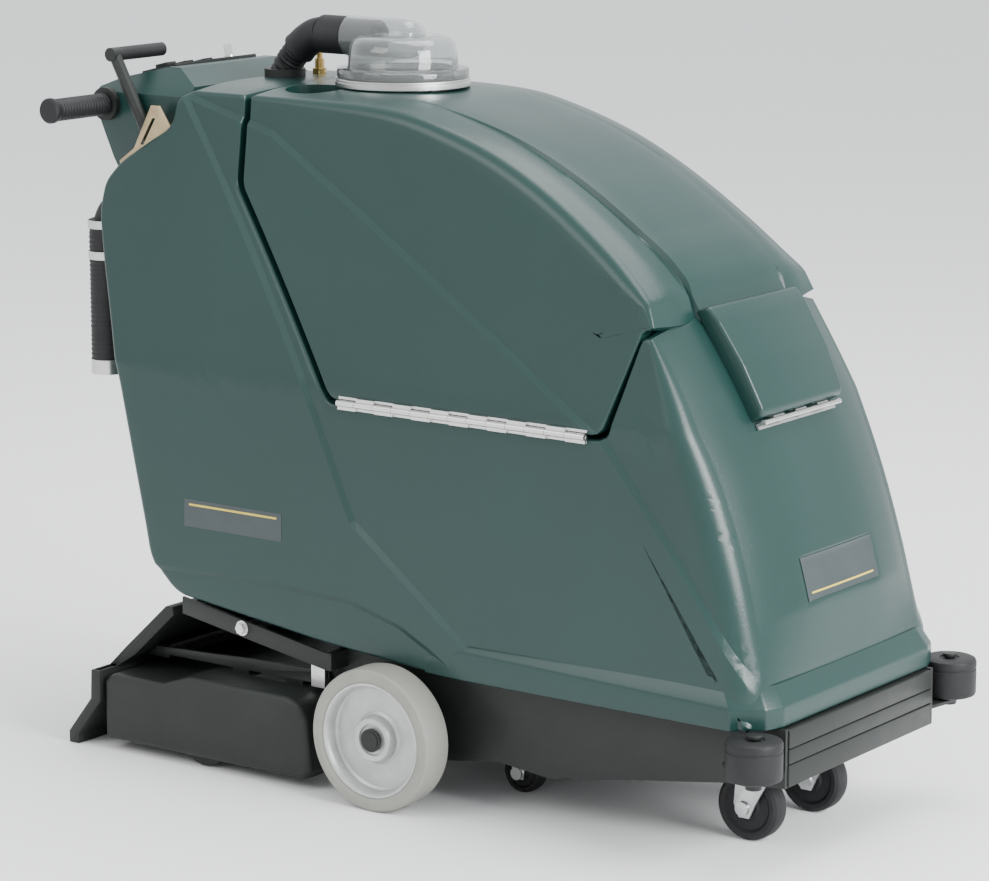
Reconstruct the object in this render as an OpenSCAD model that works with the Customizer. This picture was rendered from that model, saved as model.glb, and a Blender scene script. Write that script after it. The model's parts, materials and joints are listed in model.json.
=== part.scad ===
// Walk-behind carpet extractor: green moulded shell on a black steel chassis,
// tilting recovery tank, brush head, vacuum shoe, casters and bumper rollers.
// +X is forward, -Y is the machine's right-hand side, +Z is up.
// The origin is on the floor, under the middle of the drive axle.

/* [Body shell] */
// Width of the lower body across its lip
body_w = 484; // [440:2:600]
// Width of the deck at the top of the tank
deck_w = 368; // [320:2:420]
// Height of the deck above the floor
deck_z = 976; // [900:2:1180]
// Where the deck starts to fall towards the nose
deck_front_x = -40; // [-120:2:20]
// Foot of the nose, just above the lip
nose_foot_x = 602; // [540:2:720]
// Rear face of the cheeks at their widest reach
cheek_rear_x = -558; // [-600:2:-520]
// Wall of the lower body moulding
body_wall = 8; // [5:1:10]
// Underside of the lip round the lower body
lip_z = 199; // [180:1:215]
// Height of the lip
lip_h = 34; // [24:1:48]
// Front face of the lip
lip_front_x = 608; // [560:2:726]
// Half of the flat crown of deck and nose
crown_half = 100; // [80:2:140]

/* [Recovery tank] */
// Height of the piano hinge
hinge_z = 560; // [520:2:640]
// Wall of the recovery tank
tank_wall = 6; // [4:1:8]
// Gap round the tank where it meets the lower body
seam_gap = 6; // [4:0.5:9]
// Rear end of the tank at the deck
tank_rear_x = -296; // [-310:2:-280]
// Front end of the tank at the top of the nose
tank_front_x = 404; // [390:2:430]
// Diameter of the pin in the piano hinge
hinge_pin_d = 5; // [4:0.5:8]
// Number of knuckles along the piano hinge
hinge_knuckles = 13; // [7:2:25]

/* [Dome lid] */
// Centre of the dome behind the axle
dome_x = -156; // [-170:2:-140]
// Outer diameter of the ring under the dome
dome_ring_d = 194; // [180:2:200]
// Height of the ring under the dome
dome_ring_h = 12; // [8:1:20]
// Diameter of the opening in the tank
dome_port_d = 150; // [110:2:156]
// Outer diameter of the clear drum
dome_drum_d = 158; // [140:2:166]
// Height of the clear drum
dome_drum_h = 46; // [36:1:60]
// Wall of the clear lid
dome_wall = 4; // [3:0.5:5]
// Outer diameter of the snout for the vacuum cuff
snout_d = 58; // [54:1:64]
// Outer diameter of the vacuum cuff
cuff_d = 50; // [44:1:52]

/* [Wheels] */
// Diameter of a drive wheel
wheel_d = 203.2; // [180:0.1:244]
// Width of a drive wheel
wheel_w = 51; // [40:1:62]
// Distance from the body lip to the inner face of the wheel, inwards
wheel_tuck = 3; // [0:1:8]
// Diameter of the drive shaft
shaft_d = 25; // [18:1:30]
// Diameter of a front caster wheel
caster_d = 96; // [80:1:104]
// Diameter of a middle support caster wheel
mid_caster_d = 62; // [54:1:68]
// Diameter of a bumper roller
roller_d = 76; // [60:1:84]
// Height of a bumper roller
roller_h = 54; // [44:1:60]

/* [Chassis] */
// Width of the steel chassis
chassis_w = 390; // [340:2:470]
// Thickness of the chassis steel
chassis_t = 6; // [4:1:8]
// Height of the chassis floor above the drive axle
floor_rise = 48.4; // [44.4:0.5:58.4]

/* [Brush head] */
// Width of the brush housing
head_w = 540; // [500:2:640]
// Diameter of the brush
brush_d = 100; // [84:2:104]
// Width of the vacuum shoe
shoe_w = 548; // [500:2:660]

/* [Console] */
// Width of the console across its side faces
console_w = 300; // [280:2:306]
// Diameter of a twist grip
grip_d = 33; // [28:1:40]
// Length of a twist grip
grip_l = 129; // [100:1:150]
// Diameter of the lift lever
lever_d = 18; // [14:1:18]

/* [Fits] */
// Radial clearance of a running fit
fit = 0.05; // [0.02:0.01:0.1]
// Clearance between neighbouring loose pieces
clear = 0.4; // [0.3:0.1:0.8]

/* [Hidden] */
$fn = 48;
GREEN = "#1f4a40";
BLACK = "#1c1c1d";
RUBBER = "#2a2a2b";
GREY = "#b9b9b3";
RIM = "#d0d0cc";
STEEL = "#c3c6c8";
ZINC = "#c9c3a8";
BRASS = "#b58f3c";
CLEAR = "#d8dfe2";

// Unit vector, plain Bezier points and a mitred inset of an anticlockwise outline
function unit(v) = v / norm(v);
function bez(a, b, c, d, n) = [for (i = [0:n]) let (t = i / n, s = 1 - t)
    s * s * s * a + 3 * s * s * t * b + 3 * s * t * t * c + t * t * t * d];
function bez2(a, b, c, n) = [for (i = [0:n]) let (t = i / n, s = 1 - t)
    s * s * a + 2 * s * t * b + t * t * c];
function inset(p, d) = let (n = len(p)) [for (i = [0:n - 1])
    let (u = unit(p[i] - p[(i + n - 1) % n]), v = unit(p[(i + 1) % n] - p[i]))
    p[i] + d / (1 + u * v) * [-u.y - v.y, u.x + v.x]];
function mirrored(p) = concat(p, [for (i = [len(p) - 1:-1:0]) [-p[i].x, p[i].y]]);

// Extrusions: an XZ outline along Y, a YZ outline along X, round bars along X, Y and Z
module along_y(p, y0, y1) { translate([0, y1, 0]) rotate([90, 0, 0]) linear_extrude(y1 - y0) polygon(p); }
module along_x(p, x0, x1) { translate([x0, 0, 0]) rotate([90, 0, 90]) linear_extrude(x1 - x0) polygon(p); }
module bar_y(x, z, r, y0, y1) { translate([x, y1, z]) rotate([90, 0, 0]) cylinder(h = y1 - y0, r = r); }
module bar_x(y, z, r, x0, x1) { translate([x0, y, z]) rotate([0, 90, 0]) cylinder(h = x1 - x0, r = r); }
module bar_z(x, y, r, z0, z1) { translate([x, y, z0]) cylinder(h = z1 - z0, r = r); }
module box(x0, x1, y0, y1, z0, z1) { translate([x0, y0, z0]) cube([x1 - x0, y1 - y0, z1 - z0]); }
module both_sides() { children(); mirror([0, 1, 0]) children(); }
module on_side(s) { if (s > 0) children(); else mirror([0, 1, 0]) children(); }

axle_z = wheel_d / 2;
floor_z = axle_z + floor_rise;

// Side view of the whole green shell, anticlockwise from the belly
belly_z = lip_z + 1;
lip_top = lip_z + lip_h;
top_rise = deck_z - 976;
nose_line = bez([nose_foot_x, lip_top + 7], [nose_foot_x - 105, 740 + top_rise / 2],
    [deck_front_x + 345, deck_z - 56], [deck_front_x, deck_z], 12);
rear_line = [
    [-402, deck_z], [-420, deck_z - 24], [-428, deck_z - 60], [-460, deck_z - 78],
    [cheek_rear_x + 36, deck_z - 116], [cheek_rear_x + 8, deck_z - 146], [cheek_rear_x, deck_z - 190],
    [cheek_rear_x + 14, deck_z - 260], [-498, 549], [-472, 440], [-448, 340], [-437, 288], [-390, 246]
];
shell_side = concat([[60, belly_z], [nose_foot_x, belly_z]], nose_line, rear_line, [[-120, 214]]);

// Cross-section of the shell, anticlockwise
hinge_half = body_w / 2 - 8;
lean_z = hinge_z + 18;
shell_half = concat([[body_w / 2 - 1, 60], [body_w / 2 - 1, lip_top + 20], [hinge_half, hinge_z - 16]],
    bez2([hinge_half, lean_z], [deck_w / 2 + 8, hinge_z + 220], [deck_w / 2 - 2, deck_z - 16], 5),
    [[deck_w / 2 - 12, deck_z + 60]]);
shell_section = mirrored(shell_half);

// The envelope of the shell, moved in by d: side view, section, and a slanted prism on each
// side that rounds deck and nose down from the flat crown
fall = 12;
sweep_back = -15;
side_u = [cos(sweep_back), sin(sweep_back), 0];
side_v = [sin(fall) * sin(sweep_back), -sin(fall) * cos(sweep_back), cos(fall)];
function slanted(p) = [for (q = p) let (w = [q.x, -crown_half, q.y]) [w * side_u, w * side_v]];
shoulder_side = concat([[-900, 0], [nose_foot_x + 8, 0]], nose_line, [[-900, deck_z]]);
module shoulder_prism(d) {
    rotate([90 + fall, 0, sweep_back]) translate([0, 0, -600]) linear_extrude(1200)
        polygon(inset(slanted(shoulder_side), d));
}
module envelope(d) {
    intersection() {
        along_y(inset(shell_side, d), -400, 400);
        along_x(inset(shell_section, d), -700, 700);
        shoulder_prism(d);
        mirror([0, 1, 0]) shoulder_prism(d);
    }
}

// The tank's own outline in side view; the lower body keeps seam_gap away from it
tank_side = [
    [-107, hinge_z + 2], [342, hinge_z + 2], [tank_front_x - 8, 709], [tank_front_x, 752],
    [tank_front_x, deck_z + 100], [tank_rear_x, deck_z + 100], [tank_rear_x - 4, deck_z - 134]
];
nose_wall_x = 336;
slot_x = -424;
slot_half = deck_w / 2 - 8;
slot_floor_z = 765;

// Door in the nose: a plate lying on the nose, hinged along its lower edge
door_half = 104;
door_foot = [499, 578];
door_head = [419, 729];
door_dir = unit(door_head - door_foot);
door_out = [door_dir.y, -door_dir.x];
door_t = 16;
door_lip = 4;
function on_door(a, b) = door_foot + a * door_dir + b * door_out;
door_l = norm(door_head - door_foot);
window_margin = 22;

module lower_body() {
    color(GREEN) difference() {
        union() {
            envelope(0);
            lip();
        }
        along_y(inset(tank_side, -seam_gap), -400, 400);
        body_cavity();
        // battery bay, open upwards under the tank and downwards to the chassis
        box(-100, nose_wall_x - 6, -bay_half, bay_half, 0, hinge_z + 10);
        box(-380, nose_wall_x - 6, -bay_half, bay_half, 0, lip_z + 60);
        // slot between the cheeks for console, lever and drain pipe
        box(-700, slot_x, -slot_half, slot_half, slot_floor_z, deck_z + 50);
        // filler window behind the door, and the seat that the door lies in
        along_y([on_door(window_margin, -80), on_door(window_margin, 60),
            on_door(door_l - window_margin, 60), on_door(door_l - window_margin, -80)],
            -door_half + window_margin, door_half - window_margin);
        along_y([on_door(-14, 0), on_door(-14, 60), on_door(door_l + 16, 60), on_door(door_l + 16, 0)],
            -door_half - 2, door_half + 2);
        // holes for the hose stub, the drain pipe and the deck coupling
        bar_z(hose_x, 0, hose_r + clear, deck_z - 60, deck_z + 10);
        // shallow seat of the badge plate
        along_y(badge_seat(-0.5, 20), -badge_half - 1, badge_half + 1);
        bar_x(drain_y, drain_z, drain_r + clear, slot_x - 4, slot_x + 40);
        bar_z(coupler_x, coupler_y, coupler_r + clear, deck_z - 60, deck_z + 10);
        // room for the drive wheels under the edge of the body
        both_sides() bar_y(0, axle_z, wheel_d / 2 + wheel_gap, wheel_in - wheel_gap, wheel_out + 20);
    }
}
wheel_gap = 1;
bay_half = chassis_w / 2 + 12;

module lip() {
    c = 46;
    translate([0, 0, lip_z]) linear_extrude(lip_h)
        polygon([[120, -body_w / 2 + 1], [150, -body_w / 2], [lip_front_x - c, -body_w / 2],
            [lip_front_x - 8, -body_w / 2 + 30], [lip_front_x, -body_w / 2 + c + 10],
            [lip_front_x, body_w / 2 - c - 10], [lip_front_x - 8, body_w / 2 - 30],
            [lip_front_x - c, body_w / 2], [150, body_w / 2], [120, body_w / 2 - 1]]);
}

// Hollow of the moulding: rear housing, nose tank, and the walls left between them
module body_cavity() {
    difference() {
        envelope(body_wall);
        along_y(inset(tank_side, -seam_gap - body_wall), -400, 400);
        box(nose_wall_x - 6, nose_wall_x + body_wall - 6, -400, 400, 0, hinge_z + 40);
        box(-700, slot_x + body_wall, -400, 400, slot_floor_z - body_wall, deck_z + 50);
    }
}

module recovery_tank() {
    color(GREEN) difference() {
        union() {
            difference() {
                intersection() {
                    envelope(0);
                    along_y(tank_side, -400, 400);
                }
                intersection() {
                    envelope(tank_wall);
                    along_y(inset(tank_side, tank_wall), -400, 400);
                }
            }
            bar_z(recess_x, recess_y, recess_r + 5, deck_z - recess_h - 5, deck_z - tank_wall / 2);
        }
        bar_z(dome_x, 0, dome_port_d / 2, deck_z - 40, deck_z + 10);
        bar_z(recess_x, recess_y, recess_r, deck_z - recess_h, deck_z + 10);
    }
}
recess_x = tank_rear_x + 42;
recess_y = -84;
recess_r = 32;
recess_h = 30;

// Piano hinge along the right-hand side, and its knuckles
hinge_x0 = -91;
hinge_x1 = 325;
knuckle_r = hinge_pin_d / 2 + 2.2;
leaf_t = 1.6;
leaf_h = 9;
hinge_y = -hinge_half - knuckle_r - 0.2;
knuckle_l = (hinge_x1 - hinge_x0) / hinge_knuckles;
module leaf(first, up) {
    z0 = up ? knuckle_r + 0.6 : -leaf_h;
    z1 = up ? leaf_h : -knuckle_r - 0.6;
    difference() {
        union() {
            box(hinge_x0, hinge_x1, -hinge_half - leaf_t, -hinge_half, hinge_z + z0, hinge_z + z1);
            for (i = [first:2:hinge_knuckles - 1]) {
                a = hinge_x0 + i * knuckle_l + 0.3;
                b = a + knuckle_l - 0.6;
                bar_x(hinge_y, hinge_z, knuckle_r, a, b);
                box(a, b, hinge_y - knuckle_r * 0.1, -hinge_half, hinge_z + min(z0, 0), hinge_z + max(z1, 0));
            }
        }
        bar_x(hinge_y, hinge_z, hinge_pin_d / 2 + fit, hinge_x0 - 1, hinge_x1 + 1);
        for (i = [1 - first:2:hinge_knuckles - 1]) {
            a = hinge_x0 + i * knuckle_l - 0.3;
            box(a, a + knuckle_l + 0.6, hinge_y - 9, -hinge_half + 1, hinge_z - knuckle_r - 0.5,
                hinge_z + knuckle_r + 0.5);
        }
    }
}
module hinge_leaf_lower() { color(STEEL) leaf(0, false); }
module hinge_leaf_upper() { color(STEEL) leaf(1, true); }
module hinge_pin() { color(STEEL) bar_x(hinge_y, hinge_z, hinge_pin_d / 2, hinge_x0 + 1, hinge_x1 - 1); }

// Plain plate on the front of the nose
badge_z = [343, 403];
badge_half = 92;
function nose_x(z) = lookup(z, [for (p = nose_line) [p.y, p.x]]);
function badge_seat(back, front) = [for (q = [[0, back], [0, front], [1, front], [1, back]])
    [nose_x(badge_z[q[0]]) + q[1], badge_z[q[0]]]];
module badge_plate() {
    color(BLACK) along_y(badge_seat(-0.4, 2.5), -badge_half, badge_half);
}

// Access door, standing proud of the nose, and its small hinge
door_pin_d = 4;
door_axis = on_door(-6, door_t - 3);
module access_door() {
    color(GREEN) difference() {
        along_y([on_door(0, clear), on_door(0, door_t - 3), on_door(6, door_t + door_lip),
            on_door(door_l - 12, door_t + door_lip), on_door(door_l, door_t - 4), on_door(door_l, clear)],
            -door_half, door_half);
        along_y([on_door(8, -5), on_door(8, door_t - 4), on_door(door_l - 8, door_t - 6), on_door(door_l - 8, -5)],
            -door_half + 8, door_half - 8);
    }
}
door_knuckles = 7;
door_hinge_half = door_half - 6;
module door_leaf(first, on_lid) {
    l = 2 * door_hinge_half / door_knuckles;
    r = door_pin_d / 2 + 1.6;
    difference() {
        union() {
            for (i = [first:2:door_knuckles - 1]) {
                y = -door_hinge_half + i * l + 0.3;
                bar_y(door_axis.x, door_axis.y, r, y, y + l - 0.6);
            }
            if (!on_lid) for (i = [first:2:door_knuckles - 1]) {
                y = -door_hinge_half + i * l + 0.3;
                along_y([on_door(-8, 0), on_door(-4, 0), on_door(-4, door_t - 3), on_door(-8, door_t - 3)],
                    y, y + l - 0.6);
            }
            if (on_lid) for (i = [first:2:door_knuckles - 1]) {
                y = -door_hinge_half + i * l + 0.3;
                along_y([on_door(-7, door_t - 4), on_door(0, door_t - 6), on_door(0, door_t - 3),
                    on_door(-6, door_t - 1)], y, y + l - 0.6);
            }
            if (!on_lid) along_y([on_door(-12, 0), on_door(-4, 0), on_door(-4, 3), on_door(-12, 3)],
                -door_hinge_half, door_hinge_half);
        }
        if (on_lid) bar_y(door_axis.x, door_axis.y, door_pin_d / 2 + fit, -door_half, door_half);
    }
    if (!on_lid) bar_y(door_axis.x, door_axis.y, door_pin_d / 2, -door_hinge_half, door_hinge_half);
}
module door_hinge_lower() { color(STEEL) door_leaf(0, false); }
module door_hinge_upper() { color(STEEL) door_leaf(1, true); }

// Steel chassis: floor, two side plates that step down to the middle, and rear rails
front_x = 616;
chassis_half = chassis_w / 2;
side_plate = [
    [-60, 62], [60, 62], [150, 76], [234, 67], [517, 110], [front_x - 2, 118], [front_x - 2, lip_z - 1],
    [-120, lip_z - 1], [-120, 120]
];
rail_out = body_w / 2 - 8;
rail_h = 25;
rail_front = [-110, 172];
rail_rear = [-384, 216];
module chassis_frame() {
    color(BLACK) difference() {
        union() {
            both_sides() along_y(side_plate, chassis_half - chassis_t, chassis_half);
            box(-120, front_x - 60, -chassis_half, chassis_half, floor_z - chassis_t, floor_z);
            box(-126, -120, -chassis_half, chassis_half, 120, lip_z - 1);
            both_sides() rear_rail();
        }
        both_sides() bar_y(0, axle_z, bearing_r + 4, chassis_half - chassis_t - 5, chassis_half + 5);
        both_sides() bar_y(pivot.x, pivot.y, pivot_r + 0.3, rail_out - 30, rail_out + 10);
        both_sides() bar_z(caster_x, caster_y, kingpin_r, floor_z - 20, floor_z + 5);
    }
}
// Channel rail that runs back from the chassis to carry the head
module rear_rail() {
    along_y([rail_front, [-120, 172], rail_rear, rail_rear + [0, rail_h], [-120, 172 + rail_h],
        rail_front + [0, rail_h]], rail_out - 5, rail_out);
    box(-126, -110, chassis_half - 2, rail_out - 4, 172, 172 + rail_h);
    along_y([rail_rear + [8, -1], rail_rear + [8, 3], [-120, 176], [-120, 172]], rail_out - 24, rail_out - 4);
}

// Stacked ballast plates across the front of the chassis
plate_seams = [118, 149, 170, lip_z - 2];
module counterweight_plates() {
    color(BLACK) for (i = [0:2])
        box(front_x - 58, front_x, -chassis_half + chassis_t + 1, chassis_half - chassis_t - 1,
            plate_seams[i] + 0.5, plate_seams[i + 1] - 0.5);
}

// Bumper rollers on brackets that stand out of the chassis corners
roller_x = 605;
roller_y = body_w / 2 + 16;
roller_z0 = 145;
roller_pin_r = 6;
module roller_brackets() {
    color(BLACK) both_sides() {
        linear_z(bracket_outline(), roller_z0 - 7, roller_z0 - 2);
        box(front_x - 90, front_x - 60, chassis_half, chassis_half + 5, roller_z0 - 7, lip_z - 3);
        bar_z(roller_x, roller_y, roller_pin_r, roller_z0 - 4, roller_z0 + roller_h + 3);
        bar_z(roller_x, roller_y, 11, roller_z0 - 13, roller_z0 - 5);
        bar_z(roller_x, roller_y, 10, roller_z0 + roller_h + 1, roller_z0 + roller_h + 6);
    }
}
module linear_z(p, z0, z1) { translate([0, 0, z0]) linear_extrude(z1 - z0) polygon(p); }
function bracket_outline() = [[front_x - 90, chassis_half], [front_x - 4, chassis_half],
    [roller_x + 16, roller_y - 8], [roller_x + 10, roller_y + 14], [roller_x - 12, roller_y + 14],
    [front_x - 90, chassis_half + 14]];
module bumper_roller(s) {
    color(RUBBER) on_side(s) difference() {
        union() {
            bar_z(roller_x, roller_y, roller_d / 2 - 3, roller_z0, roller_z0 + roller_h);
            bar_z(roller_x, roller_y, roller_d / 2, roller_z0 + 3, roller_z0 + roller_h - 3);
        }
        bar_z(roller_x, roller_y, roller_pin_r + fit, roller_z0 - 1, roller_z0 + roller_h + 1);
    }
}
module bumper_roller_right() { bumper_roller(-1); }
module bumper_roller_left() { bumper_roller(1); }

// Batteries in the bay, two by two, with their posts
battery_l = 210;
battery_h = 270;
battery_w = chassis_half - chassis_t - 6;
battery_x0 = -98;
module battery_places() {
    for (i = [0:1], s = [0:1])
        translate([battery_x0 + i * (battery_l + 4), s == 0 ? -battery_w - 2 : 2, floor_z]) children();
}
module batteries() { color(BLACK) battery_places() cube([battery_l, battery_w, battery_h]); }
module battery_posts() {
    color(STEEL) battery_places() {
        translate([25, 30, battery_h]) cylinder(h = 16, r = 8);
        translate([battery_l - 25, 30, battery_h]) cylinder(h = 16, r = 8);
    }
}

// Transaxle with a bearing sleeve for each drive shaft, and the motor in front of it
bearing_r = shaft_d / 2 + 9;
wheel_in = body_w / 2 - wheel_tuck;
wheel_out = wheel_in + wheel_w;
shaft_end = 60;
module transaxle() {
    color(BLACK) difference() {
        union() {
            bar_y(0, axle_z, bearing_r, -chassis_half - 8, chassis_half + 8);
            bar_y(0, axle_z, bearing_r + 18, -46, 46);
            box(-20, 20, -20, 20, axle_z + 10, floor_z - chassis_t);
            bar_x(0, axle_z, 36, 20, 190);
        }
        both_sides() bar_y(0, axle_z, shaft_d / 2 + fit, shaft_end, chassis_half + 9);
    }
}
module vacuum_motor() {
    color(BLACK) {
        bar_z(-330, 70, 72, 560, 700);
        bar_z(-330, 70, 50, 470, 560);
        box(-430, -230, 20, 120, 462, 470);
    }
}
module solution_pump() {
    color(BLACK) {
        bar_x(-90, 330, 40, -340, -215);
        box(-380, -340, -130, -50, 290, 370);
    }
}

// Drive wheels: solid grey tyre on a dished rim that is keyed to its shaft
rim_r = wheel_d / 2 - 19;
hub_r = 29;
module wheel_rim(s) {
    color(RIM) on_side(s) difference() {
        union() {
            difference() {
                bar_y(0, axle_z, rim_r, wheel_in + 1, wheel_out - 2);
                bar_y(0, axle_z, rim_r - 8, wheel_out - 18, wheel_out);
                bar_y(0, axle_z, rim_r - 8, wheel_in - 1, wheel_in + 18);
            }
            bar_y(0, axle_z, hub_r, wheel_in + 1, wheel_out - 6);
        }
        bar_y(0, axle_z, shaft_d / 2, wheel_in - 5, wheel_out + 5);
    }
}
module wheel_tyre(s) {
    color(GREY) on_side(s) difference() {
        union() {
            bar_y(0, axle_z, wheel_d / 2, wheel_in + 4, wheel_out - 4);
            bar_y(0, axle_z, wheel_d / 2 - 4, wheel_in, wheel_out);
        }
        bar_y(0, axle_z, rim_r, wheel_in - 1, wheel_out + 1);
    }
}
module drive_shaft(s) {
    color(RUBBER) on_side(s) union() {
        bar_y(0, axle_z, shaft_d / 2, shaft_end + 1, wheel_out - 2);
        bar_y(0, axle_z, shaft_d / 2 + 4, wheel_out - 6, wheel_out - 3);
    }
}
module wheel_rim_right() { wheel_rim(-1); }
module wheel_rim_left() { wheel_rim(1); }
module wheel_tyre_right() { wheel_tyre(-1); }
module wheel_tyre_left() { wheel_tyre(1); }
module drive_shaft_right() { drive_shaft(-1); }
module drive_shaft_left() { drive_shaft(1); }

// Front casters: a kingpin under the floor, a trailing fork and a wheel on its bolt
caster_x = 524;
caster_y = 81;
caster_trail = 30;
caster_w = 32;
kingpin_r = 9;
fork_top = caster_d + 6;
axle_r = 6;
module caster_mounts() {
    color(STEEL) {
        both_sides() {
            bar_z(caster_x, caster_y, 30, fork_top + 8, floor_z - chassis_t);
            bar_z(caster_x, caster_y, kingpin_r, fork_top - 4, floor_z - chassis_t + 2);
        }
        mid_caster_forks();
    }
}
module caster_fork(s) {
    wx = caster_x - caster_trail;
    half = caster_w / 2 + 2;
    color(STEEL) on_side(s) difference() {
        union() {
            bar_z(caster_x, caster_y, 27, fork_top, fork_top + 7);
            box(wx - 10, caster_x, caster_y - half - 4, caster_y + half + 4, fork_top, fork_top + 4);
            for (y = [caster_y - half - 4, caster_y + half])
                along_y([[wx - 16, caster_d / 2 + 4], [wx - 8, caster_d / 2 - 14], [wx + 8, caster_d / 2 - 14],
                    [wx + 17, caster_d / 2 + 6], [caster_x + 16, fork_top + 4], [wx - 12, fork_top + 4]], y, y + 4);
            bar_y(wx, caster_d / 2, axle_r, caster_y - half - 7, caster_y + half + 7);
            for (y = [caster_y - half - 11, caster_y + half + 4]) bar_y(wx, caster_d / 2, 10, y, y + 7);
        }
        bar_z(caster_x, caster_y, kingpin_r + fit, fork_top - 5, fork_top + 9);
    }
}
module tread_wheel(x, y, d, w, bore) {
    difference() {
        union() {
            bar_y(x, d / 2, d / 2, y - w / 2 + 4, y + w / 2 - 4);
            bar_y(x, d / 2, d / 2 - 3, y - w / 2, y + w / 2);
        }
        bar_y(x, d / 2, bore + fit, y - w / 2 - 1, y + w / 2 + 1);
    }
}
module caster_wheel(s) {
    color(RUBBER) on_side(s) tread_wheel(caster_x - caster_trail, caster_y, caster_d, caster_w, axle_r);
}
module caster_fork_right() { caster_fork(-1); }
module caster_fork_left() { caster_fork(1); }
module caster_wheel_right() { caster_wheel(-1); }
module caster_wheel_left() { caster_wheel(1); }

// Middle support casters: rigid forks under the floor
mid_x = 118;
mid_w = 28;
mid_axle_r = 5;
module mid_caster_forks() {
    half = mid_w / 2 + 2;
    both_sides() {
        for (y = [caster_y - half - 3, caster_y + half])
            along_y([[mid_x - 9, mid_caster_d / 2 - 9], [mid_x + 9, mid_caster_d / 2 - 9],
                [mid_x + 22, floor_z - chassis_t], [mid_x - 22, floor_z - chassis_t]], y, y + 3);
        bar_y(mid_x, mid_caster_d / 2, mid_axle_r, caster_y - half - 8, caster_y + half + 8);
        for (y = [caster_y - half - 9, caster_y + half + 3]) bar_y(mid_x, mid_caster_d / 2, 9, y, y + 6);
    }
}
module mid_caster_wheel_right() {
    color(RUBBER) on_side(-1) tread_wheel(mid_x, caster_y, mid_caster_d, mid_w, mid_axle_r);
}
module mid_caster_wheel_left() {
    color(RUBBER) on_side(1) tread_wheel(mid_x, caster_y, mid_caster_d, mid_w, mid_axle_r);
}

// Dome: ring on the deck, clear lid with a snout, and the cuff pushed into it
ring_top = deck_z + dome_ring_h;
flange_h = 14;
drum_z = ring_top + flange_h;
snout_z = drum_z + dome_drum_h - 6;
snout_end = dome_x - 94;
module dome_ring() {
    color(STEEL) difference() {
        bar_z(dome_x, 0, dome_ring_d / 2, deck_z, ring_top);
        bar_z(dome_x, 0, dome_port_d / 2, deck_z - 1, ring_top + 1);
    }
}
module dome_lid() {
    r = dome_drum_d / 2;
    color(CLEAR) difference() {
        union() {
            bar_z(dome_x, 0, dome_ring_d / 2 - 3, ring_top, drum_z);
            translate([dome_x, 0, drum_z]) cylinder(h = dome_drum_h, r1 = r, r2 = r - 5);
            bar_x(0, snout_z, snout_d / 2, snout_end, dome_x + 30);
        }
        bar_z(dome_x, 0, dome_port_d / 2, ring_top - 1, drum_z - 2);
        bar_z(dome_x, 0, r - 5 - dome_wall, drum_z - 3, drum_z + dome_drum_h - dome_wall);
        bar_x(0, snout_z, cuff_d / 2 - 2, dome_x - 40, dome_x + 26);
        bar_x(0, snout_z, cuff_d / 2, snout_end - 1, dome_x - 39);
    }
}
butt_x = tank_rear_x - 4.5;
module lid_cuff() {
    color(RUBBER) difference() {
        union() {
            bar_x(0, snout_z, cuff_d / 2, butt_x + 0.5, dome_x - 41);
            bar_x(0, snout_z, cuff_d / 2 + 3, butt_x + 0.5, butt_x + 18);
        }
        bar_x(0, snout_z, cuff_d / 2 - 5, butt_x, dome_x - 40);
    }
}
module float_screen() {
    color(STEEL) difference() {
        union() {
            bar_z(dome_x, 0, 34, deck_z - 90, deck_z - 6);
            box(dome_x - 9, dome_x + 9, -dome_port_d / 2 + 1, dome_port_d / 2 - 1, deck_z - 10, deck_z - 6);
            both_sides() box(dome_x - 9, dome_x + 9, dome_port_d / 2 - 4, dome_port_d / 2 + 6,
                deck_z - tank_wall - 5, deck_z - tank_wall - 1);
        }
        bar_z(dome_x, 0, 31, deck_z - 86, deck_z - 12);
        for (a = [30:60:330]) translate([dome_x, 0, 0]) rotate([0, 0, a]) bar_x(0, deck_z - 45, 9, 20, 40);
    }
}

// Vacuum hose: from the deck up at a slant to the cuff, ending square to it
hose_x = -372;
hose_r = 22;
hose_bend = [-330, snout_z - 4];
module vacuum_hose() {
    foot = [hose_x, deck_z + 24];
    d = hose_bend - foot;
    color(RUBBER) union() {
        bar_z(hose_x, 0, hose_r, deck_z - 20, deck_z + 24);
        translate([hose_x, 0, deck_z + 24]) sphere(r = hose_r + 0.6);
        translate([foot.x, 0, foot.y]) rotate([0, atan2(d.x, d.y), 0]) cylinder(h = norm(d), r = hose_r);
        translate([hose_bend.x, 0, hose_bend.y]) sphere(r = hose_r + 0.6);
        bar_x(0, hose_bend.y, hose_r, hose_bend.x, butt_x - 8);
        bar_x(0, snout_z, cuff_d / 2 + 1, butt_x - 16, butt_x - 0.5);
    }
}
module hose_socket() {
    color(BLACK) difference() {
        bar_z(hose_x, 0, hose_r + 8, deck_z, deck_z + 12);
        bar_z(hose_x, 0, hose_r, deck_z - 1, deck_z + 13);
    }
}

// Brass coupling for the solution hose of a hand tool
coupler_x = -357;
coupler_y = 62;
coupler_r = 7;
module deck_fitting() {
    color(BRASS) union() {
        bar_z(coupler_x, coupler_y, coupler_r, deck_z - 24, deck_z + 22);
        translate([coupler_x, coupler_y, deck_z]) cylinder(h = 8, r = 11, $fn = 6);
        bar_z(coupler_x, coupler_y, 4.5, deck_z + 20, deck_z + 32);
    }
}

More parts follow.
